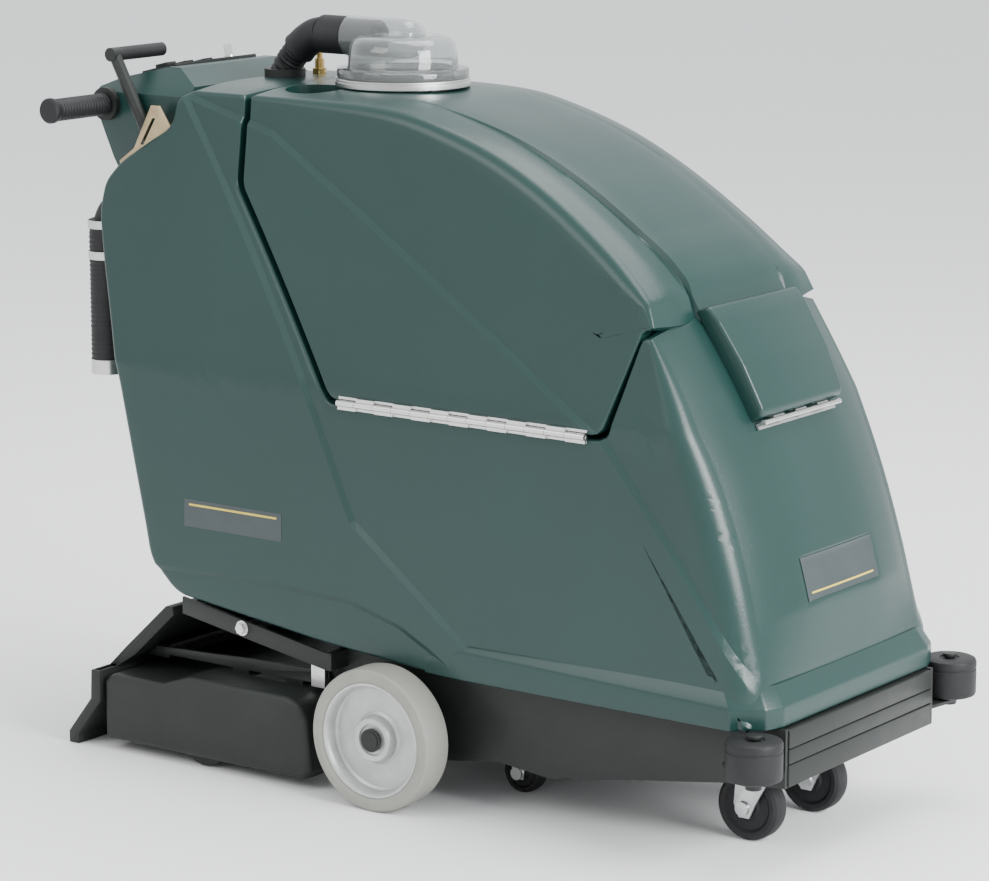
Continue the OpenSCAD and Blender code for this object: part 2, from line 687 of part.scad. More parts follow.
// Console between the cheeks
console_half = console_w / 2;
console_foot_z = deck_z - 154;
console_side = [
    [-436, console_foot_z], [-430, deck_z - 8], [-478, deck_z + 15], [-500, deck_z + 15],
    [-574, deck_z - 3], [-603, deck_z - 16], [-606, deck_z - 44], [-598, deck_z - 66], [-574, deck_z - 118],
    [-552, console_foot_z]
];
console_section = mirrored([[console_half, console_foot_z - 60], [console_half, deck_z - 22],
    [console_half - 40, deck_z + 14], [console_half - 44, deck_z + 60]]);
panel_turn = atan2(18, 74);
module console_housing() {
    color(GREEN) difference() {
        intersection() {
            along_y(console_side, -console_half, console_half);
            along_x(console_section, -700, -400);
        }
        intersection() {
            along_y(inset(console_side, 5), -console_half + 5, console_half - 5);
            along_x(inset(console_section, 5), -700, -400);
        }
        box(-540, -445, -console_half + 12, console_half - 12, console_foot_z - 10, console_foot_z + 20);
        both_sides() bar_y(grip_x, grip_z, grip_shaft_r + 1, console_half - 10, console_half + 5);
    }
}
// Frame of the sloping face that the operator reads
module on_panel() { translate([-574, 0, deck_z - 3]) rotate([0, -panel_turn, 0]) children(); }
module console_panel() {
    color(BLACK) on_panel() difference() {
        translate([8, -92, 0.4]) cube([66, 184, 4]);
        for (y = rocker_ys) {
            translate([rocker_x - 13, y - 9, -1]) cube([26, 18, 8]);
            rocker_pin(y, fit);
        }
        translate([41, 70, -1]) cylinder(h = 8, r = 9);
    }
}
// Rocker switches on short pins across their openings
rocker_x = 41;
rocker_z = 2.4;
rocker_ys = [-36, 8];
module rocker_pin(y, more) {
    translate([rocker_x, y + 11, rocker_z]) rotate([90, 0, 0]) cylinder(h = 22 + 2 * more, r = 1.2 + more);
}
module rocker(y) {
    color(RUBBER) on_panel() {
        translate([rocker_x - 12.5, y - 8.5, rocker_z]) cube([25, 17, 6]);
        rocker_pin(y, 0);
    }
}
module rocker_pump() { rocker(rocker_ys[0]); }
module rocker_vacuum() { rocker(rocker_ys[1]); }
module key_switch() {
    color(STEEL) on_panel() translate([41, 70, 0.4]) {
        cylinder(h = 9, r = 8.5);
        translate([-1.2, -8, 8]) cube([2.4, 16, 18]);
    }
}
module hour_meter() { color(BLACK) on_panel() translate([30, -86, 4.5]) cube([24, 20, 5]); }

// Twist grips on stub shafts that stand out of the console's sides
grip_x = -583;
grip_z = deck_z - 40;
grip_shaft_r = 8;
module grip_flanges() {
    color(RUBBER) both_sides() difference() {
        bar_y(grip_x, grip_z, 24, console_half, console_half + 9);
        bar_y(grip_x, grip_z, grip_shaft_r + fit, console_half - 1, console_half + 10);
    }
}
module twist_grip(s) {
    color(RUBBER) on_side(s) union() {
        bar_y(grip_x, grip_z, grip_shaft_r, console_half - 4, console_half + 12);
        bar_y(grip_x, grip_z, grip_d / 2, console_half + 9.4, console_half + grip_l - 3);
        bar_y(grip_x, grip_z, grip_d / 2 + 2, console_half + grip_l - 9, console_half + grip_l);
    }
}
module twist_grip_right() { twist_grip(-1); }
module twist_grip_left() { twist_grip(1); }

// Lift lever in the slot beside the console, on a latch plate
lever_y = -(console_half + slot_half) / 2 + 1;
lever_pivot = [-447, deck_z - 171];
lever_top = [-558, deck_z + 34];
lever_pin_r = 5;
lever_grip_l = 104;
latch_plate = [
    [-433, deck_z - 200], [-433, deck_z - 76], [-462, deck_z - 34], [-478, deck_z - 34],
    [-512, deck_z - 98], [-540, deck_z - 118], [-520, deck_z - 200]
];
module lever_bracket() {
    color(ZINC) difference() {
        union() {
            along_y(latch_plate, -slot_half, -slot_half + 3);
            bar_y(lever_pivot.x, lever_pivot.y, lever_pin_r, -slot_half + 2, -console_half - 1);
        }
        along_y([[-500, deck_z - 92], [-494, deck_z - 92], [-470, deck_z - 52], [-476, deck_z - 52]],
            -slot_half - 1, -slot_half + 4);
    }
}
module lift_lever() {
    d = lever_top - lever_pivot;
    color(RUBBER) difference() {
        union() {
            translate([lever_pivot.x, lever_y, lever_pivot.y]) rotate([0, atan2(d.x, d.y), 0])
                cylinder(h = norm(d), r = lever_d / 2);
            bar_y(lever_pivot.x, lever_pivot.y, 13, lever_y - lever_d / 2 - 1, lever_y + lever_d / 2 + 1);
            bar_y(lever_top.x, lever_top.y, lever_d / 2 + 1, lever_y - lever_d / 2 - 1, lever_y + lever_d / 2 + 1);
            bar_y(lever_top.x, lever_top.y, lever_d / 2 - 3, lever_y, lever_y + lever_grip_l - 4);
        }
        bar_y(lever_pivot.x, lever_pivot.y, lever_pin_r + fit, lever_y - 20, lever_y + 20);
    }
}
module lever_grip() {
    color(RUBBER) difference() {
        bar_y(lever_top.x, lever_top.y, lever_d / 2 + 1, lever_y + lever_d / 2 + 1, lever_y + lever_grip_l);
        bar_y(lever_top.x, lever_top.y, lever_d / 2 - 3, lever_y, lever_y + lever_grip_l - 4);
    }
}

// Brush head: arms that swing on pins under the rails, housing, brush, spray bar and vacuum shoe
pivot = [-150, 150];
pivot_r = 8;
arm_in = chassis_half + 4;
arm_t = 6;
head_half = head_w / 2;
housing_top = 134;
arm_foot = housing_top + 6;
module head_frame() {
    color(BLACK) difference() {
        union() {
            both_sides() {
                along_y([[-462, arm_foot], [-137, arm_foot], [-137, arm_foot + 22], [-462, arm_foot + 10]],
                    arm_in, arm_in + arm_t);
                for (x = [-300, -200]) box(x - 15, x + 15, arm_in - 20, arm_in + arm_t, housing_top, arm_foot + 4);
            }
            box(-462, -445, -arm_in - 1, arm_in + 1, arm_foot, arm_foot + 10);
        }
        both_sides() bar_y(pivot.x, pivot.y, pivot_r + fit, arm_in - 2, arm_in + arm_t + 2);
    }
}
// Pins that carry the arms, their lugs on the rails, and the bolts through the rails
rail_bolt = [-271, 211];
module head_pivots() {
    color(STEEL) both_sides() {
        bar_y(pivot.x, pivot.y, pivot_r, arm_in - 5, rail_out - 20);
        bar_y(pivot.x, pivot.y, pivot_r + 5, arm_in - 6, arm_in - 1);
        box(pivot.x - 12, pivot.x + 12, arm_in + arm_t + 1, rail_out - 20, pivot.y - 12, 174.5);
        bar_y(rail_bolt.x, rail_bolt.y, 11, rail_out, rail_out + 2);
        translate([rail_bolt.x, rail_out + 8, rail_bolt.y]) rotate([90, 0, 0]) cylinder(h = 6.5, r = 8, $fn = 6);
    }
}
brush_x = -330;
brush_z = brush_d / 2 + 2;
brush_pin_r = 8;
housing_side = [
    [-508, 16], [-136, 16], [-122, 30], [-128, 104], [-142, 126], [-165, housing_top],
    [-345, housing_top], [-398, 116], [-495, 116], [-508, 104]
];
module brush_housing() {
    color(BLACK) difference() {
        along_y(housing_side, -head_half, head_half);
        box(brush_x - 62, brush_x + 62, -head_half + 10, head_half - 10, 0, brush_z + 60);
        box(-255, -144, -head_half + 10, head_half - 10, 0, housing_top - 12);
        box(-498, -404, -head_half + 10, head_half - 10, 0, 106);
        bar_y(brush_x, brush_z, brush_pin_r + fit, -head_half + 2, head_half - 2);
        bar_y(-195, 74, 12, -head_half + 4, head_half - 4);
    }
}
module brush_motor() {
    color(BLACK) {
        bar_y(-195, 74, 42, -120, 90);
        bar_y(-195, 74, 11, -head_half + 4.5, head_half - 4.5);
    }
}
module brush_roller() {
    color(RUBBER) union() {
        bar_y(brush_x, brush_z, brush_d / 2, -head_half + 16, head_half - 16);
        bar_y(brush_x, brush_z, brush_pin_r, -head_half + 3, head_half - 3);
    }
}
module spray_bar() {
    color(BRASS) union() {
        bar_y(-450, 97, 8, -head_half + 10, head_half - 10);
        for (y = [-195:130:195]) {
            bar_z(-450, y, 9, 78, 96);
            bar_z(-450, y, 4, 70, 79);
        }
    }
}
// Vacuum shoe: a flat duct that runs down behind the housing to its lip on the floor
shoe_low = [
    [-574, 1], [-556, 1], [-556, 16], [-512, 72], [-512, 118], [-528, 118], [-530, 74], [-574, 18]
];
shoe_high = [[-512, 117], [-476, 141], [-402, 210], [-404, 222], [-416, 222], [-494, 150], [-528, 117]];
shoe_half = shoe_w / 2;
module vac_shoe() {
    color(BLACK) difference() {
        union() {
            along_y(shoe_low, -shoe_half, shoe_half);
            along_y(shoe_high, -shoe_half + 40, shoe_half - 40);
            box(-490, -450, -arm_in + 10, arm_in - 10, 129, arm_foot);
        }
        along_y([[-571, 0], [-559, 0], [-559, 17], [-515, 73], [-515, 119], [-525, 119], [-527, 75], [-571, 19]],
            -shoe_half + 4, shoe_half - 4);
        along_y([[-516, 117], [-479, 145], [-409, 212], [-413, 218], [-491, 147], [-524, 117]],
            -shoe_half + 44, shoe_half - 44);
    }
}

// Drain: elbow out of the bulkhead, hose down the back, clamps and cap
drain_x = -616.8;
drain_y = -124;
drain_z = deck_z - 190;
drain_r = 19;
drain_hose_r = 25;
drain_turn = 34;
drain_end = 552;
module drain_fittings() {
    color(STEEL) {
        for (z = [drain_z - 32 - 46, drain_z - 32]) difference() {
            bar_z(drain_x, drain_y, drain_hose_r + 1.2, z - 6, z + 6);
            bar_z(drain_x, drain_y, drain_hose_r, z - 7, z + 7);
        }
        bar_z(drain_x, drain_y, drain_hose_r, drain_end - 22, drain_end - 0.5);
    }
}
module drain_hose() {
    color(RUBBER) union() {
        bar_z(drain_x, drain_y, drain_hose_r, drain_end, drain_z - drain_turn + 10);
        translate([drain_x + drain_turn, drain_y, drain_z - drain_turn]) rotate([90, 0, 0])
            rotate([0, 0, 90]) rotate_extrude(angle = 90) translate([drain_turn, 0]) circle(r = drain_r);
        bar_x(drain_y, drain_z, drain_r - 0.5, drain_x + drain_turn - 3, slot_x + 12);
    }
}

lower_body();
recovery_tank();
access_door();
door_hinge_lower();
door_hinge_upper();
hinge_leaf_lower();
hinge_leaf_upper();
hinge_pin();
chassis_frame();
counterweight_plates();
roller_brackets();
bumper_roller_right();
bumper_roller_left();
batteries();
battery_posts();
transaxle();
vacuum_motor();
solution_pump();
badge_plate();
wheel_rim_right();
wheel_rim_left();
wheel_tyre_right();
wheel_tyre_left();
drive_shaft_right();
drive_shaft_left();
caster_mounts();
caster_fork_right();
caster_fork_left();
caster_wheel_right();
caster_wheel_left();
mid_caster_wheel_right();
mid_caster_wheel_left();
dome_ring();
dome_lid();
lid_cuff();
float_screen();
vacuum_hose();
hose_socket();
deck_fitting();
console_housing();
console_panel();
rocker_pump();
rocker_vacuum();
key_switch();
hour_meter();
grip_flanges();
twist_grip_right();
twist_grip_left();
lever_bracket();
lift_lever();
lever_grip();
head_frame();
head_pivots();
brush_housing();
brush_motor();
brush_roller();
spray_bar();
vac_shoe();
drain_hose();
drain_fittings();
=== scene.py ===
# %% [markdown]
# # A walk-behind carpet extractor
# The machine is a green moulded shell on a black steel chassis. Its tank tilts sideways on a
# piano hinge, a clear dome sits on top, and a brush head hangs behind the drive wheels.
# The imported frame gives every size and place, in metres: +X is forward, -Y is the
# right-hand side and +Z is up. This lesson dresses that frame piece by piece.

# %% Load the frame
import json
import math

import bmesh
import bpy
import numpy as np
from mathutils import Matrix, Vector


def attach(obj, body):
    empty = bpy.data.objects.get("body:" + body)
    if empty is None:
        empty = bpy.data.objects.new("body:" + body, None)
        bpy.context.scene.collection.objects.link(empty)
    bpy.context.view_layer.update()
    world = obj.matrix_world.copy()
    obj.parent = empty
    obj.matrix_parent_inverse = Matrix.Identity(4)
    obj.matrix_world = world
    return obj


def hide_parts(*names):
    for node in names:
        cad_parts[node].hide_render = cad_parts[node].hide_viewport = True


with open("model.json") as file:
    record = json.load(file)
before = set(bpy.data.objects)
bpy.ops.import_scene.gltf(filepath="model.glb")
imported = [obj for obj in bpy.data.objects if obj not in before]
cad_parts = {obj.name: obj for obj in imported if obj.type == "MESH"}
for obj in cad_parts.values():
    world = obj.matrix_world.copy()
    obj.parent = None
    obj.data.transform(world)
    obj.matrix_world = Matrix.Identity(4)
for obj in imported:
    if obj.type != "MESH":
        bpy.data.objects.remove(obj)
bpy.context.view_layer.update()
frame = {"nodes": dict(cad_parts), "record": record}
MM = 0.001


# %% [markdown]
# ## Helpers for meshes
# Every piece starts as a bmesh, is shaped by operators and becomes an object at the origin.
# One helper does that last step, so that naming, shading, material and body are never forgotten.

# %% Turn a bmesh into a finished piece
def finish_piece(bm, name, material, body, replaces=(), smooth=35):
    bmesh.ops.remove_doubles(bm, verts=bm.verts[:], dist=1e-6)
    bmesh.ops.recalc_face_normals(bm, faces=bm.faces[:])
    mesh = bpy.data.meshes.new(name)
    bm.to_mesh(mesh)
    bm.free()
    piece = bpy.data.objects.new(name, mesh)
    bpy.context.scene.collection.objects.link(piece)
    mesh.materials.append(material)
    mesh.shade_smooth()
    if smooth:
        mesh.set_sharp_from_angle(angle=math.radians(smooth))
    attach(piece, body)
    if replaces:
        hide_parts(*replaces)
    return piece


# %% [markdown]
# Round things are a profile turned about an axis. The profile is a few (radius, height) points
# joined by edges, and `spin` carries it round. A small frame of axes puts it in its place.

# %% Turned pieces
AXES = {
    "x": Matrix.Rotation(math.pi / 2, 4, "Y"),
    "y": Matrix.Rotation(-math.pi / 2, 4, "X"),
    "z": Matrix.Identity(4),
}


def turned(bm, profile, centre, axis="z", steps=64):
    """Spins a closed profile of (radius, height) points, in mm, about an axis through centre, in metres."""
    verts = [bm.verts.new((radius * MM, 0, height * MM)) for radius, height in profile]
    edges = [bm.edges.new(pair) for pair in zip(verts, verts[1:] + verts[:1])]
    bmesh.ops.spin(bm, geom=verts + edges, cent=(0, 0, 0), axis=(0, 0, 1), angle=2 * math.pi,
                   steps=steps, use_merge=True)
    made = set(verts)
    for edge in edges:
        made.update(v for f in edge.link_faces for v in f.verts)
    made = grow(made)
    bmesh.ops.remove_doubles(bm, verts=list(made), dist=1e-6)
    made = [v for v in made if v.is_valid]
    turn = axis if isinstance(axis, Matrix) else AXES[axis]
    bmesh.ops.transform(bm, matrix=Matrix.Translation(centre) @ turn, verts=made)
    return made


def grow(verts):
    """Every vertex joined to these ones."""
    found, waiting = set(verts), list(verts)
    while waiting:
        vert = waiting.pop()
        for edge in vert.link_edges:
            other = edge.other_vert(vert)
            if other not in found:
                found.add(other)
                waiting.append(other)
    return found


# %% [markdown]
# Plates, brackets and boxes are an outline with thickness. The outline becomes one face,
# `extrude_face_region` gives it depth, and a bevel softens its edges as pressing or moulding does.

# %% Plates with softened edges
def plate(bm, outline, low, high, plane="xz", bevel=1.0, segments=2):
    """Extrudes an outline in mm between two depths in mm. plane names its two axes."""
    place = {
        "xz": lambda a, b, d: (a * MM, d * MM, b * MM),
        "yz": lambda a, b, d: (d * MM, a * MM, b * MM),
        "xy": lambda a, b, d: (a * MM, b * MM, d * MM),
    }[plane]
    verts = [bm.verts.new(place(a, b, low)) for a, b in outline]
    face = bm.faces.new(verts)
    result = bmesh.ops.extrude_face_region(bm, geom=[face])
    far = [v for v in result["geom"] if isinstance(v, bmesh.types.BMVert)]
    step = Vector(place(0, 0, high)) - Vector(place(0, 0, low))
    bmesh.ops.translate(bm, vec=step, verts=far)
    made = verts + far
    faces = {f for v in made for f in v.link_faces}
    bmesh.ops.recalc_face_normals(bm, faces=list(faces))
    if bevel:
        edges = {e for f in faces for e in f.edges}
        bmesh.ops.bevel(bm, geom=list(edges), offset=bevel * MM, segments=segments, profile=0.5,
                        affect="EDGES", material=-1, clamp_overlap=True)
    return made


def block(bm, low, high, bevel=1.0, segments=2):
    """A box between two corners in mm."""
    return plate(bm, [(low[0], low[2]), (high[0], low[2]), (high[0], high[2]), (low[0], high[2])],
                 low[1], high[1], "xz", bevel, segments)


# %% [markdown]
# Hoses and bent bars are a ring that is extruded along a route. At each step the ring is turned to
# face the way it is going, and a hose's ribs come from a radius that rises and falls.

# %% Bars and hoses along a route
def smooth_route(points, step):
    """A Catmull-Rom curve through points in mm, with a point about every step mm."""
    pts = [Vector(p) for p in points]
    pts = [2 * pts[0] - pts[1]] + pts + [2 * pts[-1] - pts[-2]]
    out = []
    for a, b, c, d in zip(pts, pts[1:], pts[2:], pts[3:]):
        n = max(1, int((c - b).length / step))
        for i in range(n):
            t = i / n
            out.append(0.5 * (2 * b + (c - a) * t + (2 * a - 5 * b + 4 * c - d) * t * t
                              + (3 * b - a - 3 * c + d) * t ** 3))
    out.append(pts[-2])
    return out


def swept(bm, route, radius, sides=28, capped=True):
    """Extrudes a ring along a route in mm. radius is a number, or a function of length in mm."""
    ring_radius = radius if callable(radius) else (lambda length: radius)
    ring = bmesh.ops.create_circle(bm, cap_ends=capped, segments=sides, radius=1.0)["verts"]
    made = list(ring)
    shape = [v.co.copy() for v in ring]
    heading = Vector((0, 0, 1))
    turn = Matrix.Identity(3)
    length = 0.0
    for i, point in enumerate(route):
        ahead = (route[min(i + 1, len(route) - 1)] - route[max(i - 1, 0)]).normalized()
        turn = heading.rotation_difference(ahead).to_matrix() @ turn
        heading = ahead
        if i:
            length += (point - route[i - 1]).length
            edges = list({e for v in ring for e in v.link_edges if e.other_vert(v) in ring})
            step = bmesh.ops.extrude_edge_only(bm, edges=edges)
            new = [g for g in step["geom"] if isinstance(g, bmesh.types.BMVert)]
            order = []
            for v in ring:
                order.append(next(e.other_vert(v) for e in v.link_edges if e.other_vert(v) in new))
            ring = order
            made += ring
        for v, place in zip(ring, shape):
            v.co = (point + turn @ place * ring_radius(length)) * MM
    if capped:
        bm.faces.new(ring)
    return made


# %% [markdown]
# ## Finishes
# Each finish is a Principled shader with procedural detail: slow colour variation, a fine bump
# that matches how the material is made, and some dust or wear. All patterns read Object
# coordinates, so they stay put when a piece moves.

# %% A base for every finish
def finish(name, colour, roughness, metallic=0.0, specular=0.5, vary=0.12, vary_scale=6.0, grain=0.0,
           grain_scale=400.0, stretch=(1, 1, 1), rough_vary=0.08, dust=0.0, dust_colour=(0.35, 0.34, 0.31)):
    """vary is colour, grain is fine bump, and dust is how much of dust_colour lies in patches."""
    material = bpy.data.materials.new(name)
    material.use_nodes = True
    nodes, links = material.node_tree.nodes, material.node_tree.links
    shader = nodes["Principled BSDF"]
    shader.inputs["Metallic"].default_value = metallic
    shader.inputs["Specular IOR Level"].default_value = specular
    where = nodes.new("ShaderNodeTexCoord")
    mapping = nodes.new("ShaderNodeMapping")
    mapping.inputs["Scale"].default_value = stretch
    links.new(where.outputs["Object"], mapping.inputs["Vector"])

    def noise(scale, detail, source):
        node = nodes.new("ShaderNodeTexNoise")
        node.inputs["Scale"].default_value = scale
        node.inputs["Detail"].default_value = detail
        node.inputs["Roughness"].default_value = 0.6
        links.new(source, node.inputs["Vector"])
        return node

    slow = noise(vary_scale, 4.0, mapping.outputs["Vector"])
    ramp = nodes.new("ShaderNodeValToRGB")
    ramp.color_ramp.elements[0].position = 0.3
    ramp.color_ramp.elements[1].position = 0.7
    ramp.color_ramp.elements[0].color = (*[c * (1 - vary) for c in colour], 1)
    ramp.color_ramp.elements[1].color = (*[min(1.0, c * (1 + vary)) for c in colour], 1)
    links.new(slow.outputs["Fac"], ramp.inputs["Fac"])
    colour_out = ramp.outputs["Color"]
    if dust:
        specks = noise(38.0, 8.0, where.outputs["Object"])
        mask = nodes.new("ShaderNodeMapRange")
        mask.inputs["From Min"].default_value = 0.55
        mask.inputs["From Max"].default_value = 0.8
        mask.inputs["To Max"].default_value = dust
        links.new(specks.outputs["Fac"], mask.inputs["Value"])
        mix = nodes.new("ShaderNodeMix")
        mix.data_type = "RGBA"
        mix.inputs["B"].default_value = (*dust_colour, 1)
        links.new(mask.outputs["Result"], mix.inputs["Factor"])
        links.new(colour_out, mix.inputs["A"])
        colour_out = mix.outputs["Result"]
    links.new(colour_out, shader.inputs["Base Color"])
    patchy = noise(vary_scale * 3.1, 5.0, mapping.outputs["Vector"])
    rough = nodes.new("ShaderNodeMapRange")
    rough.inputs["To Min"].default_value = max(0.02, roughness - rough_vary)
    rough.inputs["To Max"].default_value = min(1.0, roughness + rough_vary)
    links.new(patchy.outputs["Fac"], rough.inputs["Value"])
    links.new(rough.outputs["Result"], shader.inputs["Roughness"])
    if grain:
        fine = noise(grain_scale, 3.0, mapping.outputs["Vector"])
        bump = nodes.new("ShaderNodeBump")
        bump.inputs["Strength"].default_value = grain
        bump.inputs["Distance"].default_value = MM
        links.new(fine.outputs["Fac"], bump.inputs["Height"])
        links.new(bump.outputs["Normal"], shader.inputs["Normal"])
    return material


# %% [markdown]
# The shell is rotation-moulded plastic: a deep green with a faint orange-peel skin and a soft
# shine. The head cover is black moulding with a coarser grain, and the chassis is black paint.

# %% Finishes of the plastics, paints and metals
GREEN = finish("green_moulding", (0.0072, 0.0315, 0.0275), 0.33, specular=0.42, vary=0.07, vary_scale=2.5,
               grain=0.16, grain_scale=260.0, rough_vary=0.05, dust=0.05, dust_colour=(0.03, 0.07, 0.062))
BLACK_PLASTIC = finish("black_moulding", (0.0115, 0.014, 0.0125), 0.48, specular=0.3, vary=0.15,
                       vary_scale=7.0, grain=0.3, grain_scale=520.0, dust=0.08,
                       dust_colour=(0.05, 0.05, 0.048))
BLACK_PAINT = finish("black_paint", (0.0125, 0.015, 0.0135), 0.42, specular=0.3, vary=0.12, vary_scale=9.0,
                     grain=0.18, grain_scale=330.0, dust=0.07, dust_colour=(0.06, 0.058, 0.055))
STEEL = finish("stainless", (0.62, 0.62, 0.61), 0.3, metallic=1.0, vary=0.08, vary_scale=30.0, grain=0.12,
               grain_scale=160.0, stretch=(0.08, 1, 1), rough_vary=0.1)
ZINC = finish("zinc_plate", (0.55, 0.56, 0.56), 0.36, metallic=0.9, vary=0.16, vary_scale=24.0, grain=0.1,
              grain_scale=240.0, dust=0.15, dust_colour=(0.3, 0.29, 0.27))
YELLOW_ZINC = finish("yellow_zinc", (0.42, 0.33, 0.19), 0.42, metallic=0.55, vary=0.22, vary_scale=18.0,
                     grain=0.12, grain_scale=260.0, dust=0.1)
BRASS = finish("brass", (0.62, 0.43, 0.16), 0.3, metallic=1.0, vary=0.14, vary_scale=40.0, grain=0.08,
               grain_scale=300.0)
TYRE = finish("grey_tyre", (0.25, 0.25, 0.225), 0.72, vary=0.09, vary_scale=14.0, grain=0.25,
              grain_scale=420.0, dust=0.3, dust_colour=(0.16, 0.155, 0.145))
RIM = finish("grey_rim", (0.43, 0.44, 0.43), 0.4, metallic=0.45, vary=0.14, vary_scale=22.0, grain=0.22,
             grain_scale=300.0, dust=0.2, dust_colour=(0.24, 0.235, 0.22))
RUBBER = finish("black_rubber", (0.011, 0.011, 0.012), 0.55, specular=0.3, vary=0.2, vary_scale=22.0,
                grain=0.25, grain_scale=480.0, dust=0.1, dust_colour=(0.045, 0.044, 0.042))
CAST = finish("cast_housing", (0.035, 0.037, 0.04), 0.5, vary=0.2, vary_scale=20.0, grain=0.35,
              grain_scale=220.0)
BADGE = finish("badge_film", (0.028, 0.04, 0.042), 0.35, vary=0.1, vary_scale=30.0, grain=0.08,
               grain_scale=500.0)
GOLD = finish("badge_stripe", (0.55, 0.42, 0.06), 0.35, vary=0.08, vary_scale=30.0, grain=0.06,
              grain_scale=500.0)
print("finishes:", len(bpy.data.materials))


# %% [markdown]
# The dome is thin clear plastic. Glass with full transmission hides nothing of the float ring and
# the bore behind it, and a little roughness and a grey tint keep it from looking like crystal.

# %% Clear plastic
def clear_plastic():
    material = finish("clear_dome", (0.72, 0.75, 0.75), 0.07, vary=0.03, vary_scale=8.0, grain=0.25,
                      grain_scale=60.0, rough_vary=0.04)
    shader = material.node_tree.nodes["Principled BSDF"]
    shader.inputs["Transmission Weight"].default_value = 0.92
    shader.inputs["IOR"].default_value = 1.45
    return material


CLEAR = clear_plastic()


# %% [markdown]
# ## Camera, floor and light
# The camera stands low in front of the right-hand corner, a good way back behind a long lens, so
# upright edges stay nearly parallel. It is placed by azimuth and elevation round a target.

# %% Camera
def aim_camera(azimuth, elevation, distance, target, lens):
    az, el = math.radians(azimuth), math.radians(elevation)
    back = Vector((math.sin(az) * math.cos(el), -math.cos(az) * math.cos(el), math.sin(el)))
    camera = bpy.data.objects.new("camera", bpy.data.cameras.new("camera"))
    bpy.context.scene.collection.objects.link(camera)
    camera.data.lens = lens
    camera.data.sensor_width = 36.0
    camera.data.clip_end = 60.0
    camera.location = Vector(target) * MM + back * distance * MM
    camera.rotation_euler = (-back).to_track_quat("-Z", "Y").to_euler()
    bpy.context.scene.camera = camera
    return camera


aim_camera(35.9, 11.4, 5236.2, (4.5, 0, 479.1), 133.8)

# %% [markdown]
# A studio floor is a large pale sheet. A broad light in front of the nose does most of the work, so
# nose and deck are bright and the flank stays deep. A weak light fills the flank from the camera's
# side, a third hangs over the deck, and the pale sky softens every shadow.

# %% Floor and lights
floor_bm = bmesh.new()
bmesh.ops.create_grid(floor_bm, x_segments=2, y_segments=2, size=30.0)
floor_mesh = bpy.data.meshes.new("studio_floor")
floor_bm.to_mesh(floor_mesh)
floor_bm.free()
studio_floor = bpy.data.objects.new("studio_floor", floor_mesh)
bpy.context.scene.collection.objects.link(studio_floor)
floor_mesh.materials.append(finish("pale_floor", (0.86, 0.86, 0.86), 0.8, vary=0.01, vary_scale=0.4))


def soft_light(name, place, aim, size, power, colour=(1, 1, 1)):
    data = bpy.data.lights.new(name, "AREA")
    data.shape = "RECTANGLE"
    data.size, data.size_y = size
    data.energy = power
    data.color = colour
    light = bpy.data.objects.new(name, data)
    light.location = place
    light.rotation_euler = (Vector(aim) - Vector(place)).to_track_quat("-Z", "Y").to_euler()
    bpy.context.scene.collection.objects.link(light)
    return light


soft_light("key_light", (-1.6, -4.2, 3.6), (0, 0, 0.5), (3.0, 2.4), 95, (1.0, 0.99, 0.97))
soft_light("nose_light", (4.6, -0.4, 2.4), (0.2, 0, 0.5), (2.2, 2.2), 400, (0.97, 0.99, 1.0))
soft_light("top_light", (0.4, 1.2, 4.6), (0, 0, 0.6), (3.5, 2.5), 170)
world = bpy.data.worlds.new("studio")
world.use_nodes = True
world.node_tree.nodes["Background"].inputs["Color"].default_value = (0.93, 0.95, 0.97, 1)
world.node_tree.nodes["Background"].inputs["Strength"].default_value = 1.45
bpy.context.scene.world = world
print("lights:", len(bpy.data.lights))


# %% [markdown]
# The tank is lifted by a round finger recess in its deck. To sink it, the deck is cut by a ring of
# planes, the disc inside is pushed down, and new walls grow from the cut by extruding.

# %% Sink a round recess in a deck
def sink_round(bm, x, y, radius, depth, top=0.93, cuts=28):
    centre = Vector((x * MM, y * MM, 0))
    for k in range(cuts):
        outward = Vector((math.cos(2 * math.pi * k / cuts), math.sin(2 * math.pi * k / cuts), 0))
        near = [f for f in bm.faces if f.is_valid and f.calc_center_median().z > top
                and (f.calc_center_median().xy - centre.xy).length < (radius + 25) * MM]
        parts = set(near)
        for f in near:
            parts.update(f.edges)
            parts.update(f.verts)
        bmesh.ops.bisect_plane(bm, geom=list(parts), dist=1e-6, plane_co=centre + outward * radius * MM,
                               plane_no=outward)
    inside = [f for f in bm.faces if f.calc_center_median().z > top
              and (f.calc_center_median().xy - centre.xy).length < radius * MM]
    moved = bmesh.ops.extrude_face_region(bm, geom=inside)["geom"]
    bmesh.ops.delete(bm, geom=inside, context="FACES")
    floor = [v for v in moved if isinstance(v, bmesh.types.BMVert)]
    bmesh.ops.translate(bm, vec=(0, 0, -depth * MM), verts=floor)
    return len(floor)


# %% [markdown]
# A mark on the shell follows its curve. The place for it is cut out of the same sheet with four
# planes, so a film or plate made from those faces fits the surface exactly.

# %% Cut a rectangle into a sheet, and lift a film from it
def cut_rectangle(bm, low, high, planes):
    """planes names two of the axes x, y, z. low and high are corners in mm."""
    axis_of = {"x": 0, "y": 1, "z": 2}
    for name in planes:
        axis = axis_of[name]
        normal = Vector((0, 0, 0))
        normal[axis] = 1.0
        for value in (low[axis], high[axis]):
            parts = set()
            for f in bm.faces:
                c = f.calc_center_median() / MM
                if all(low[k] - 30 < c[k] < high[k] + 30 for k in range(3)):
                    parts.add(f)
                    parts.update(f.edges)
                    parts.update(f.verts)
            point = Vector((0, 0, 0))
            point[axis] = value * MM
            bmesh.ops.bisect_plane(bm, geom=list(parts), dist=1e-6, plane_co=point, plane_no=normal)
    return [f for f in bm.faces if all(low[k] - 0.01 < c < high[k] + 0.01
                                       for k, c in enumerate(f.calc_center_median() / MM))]


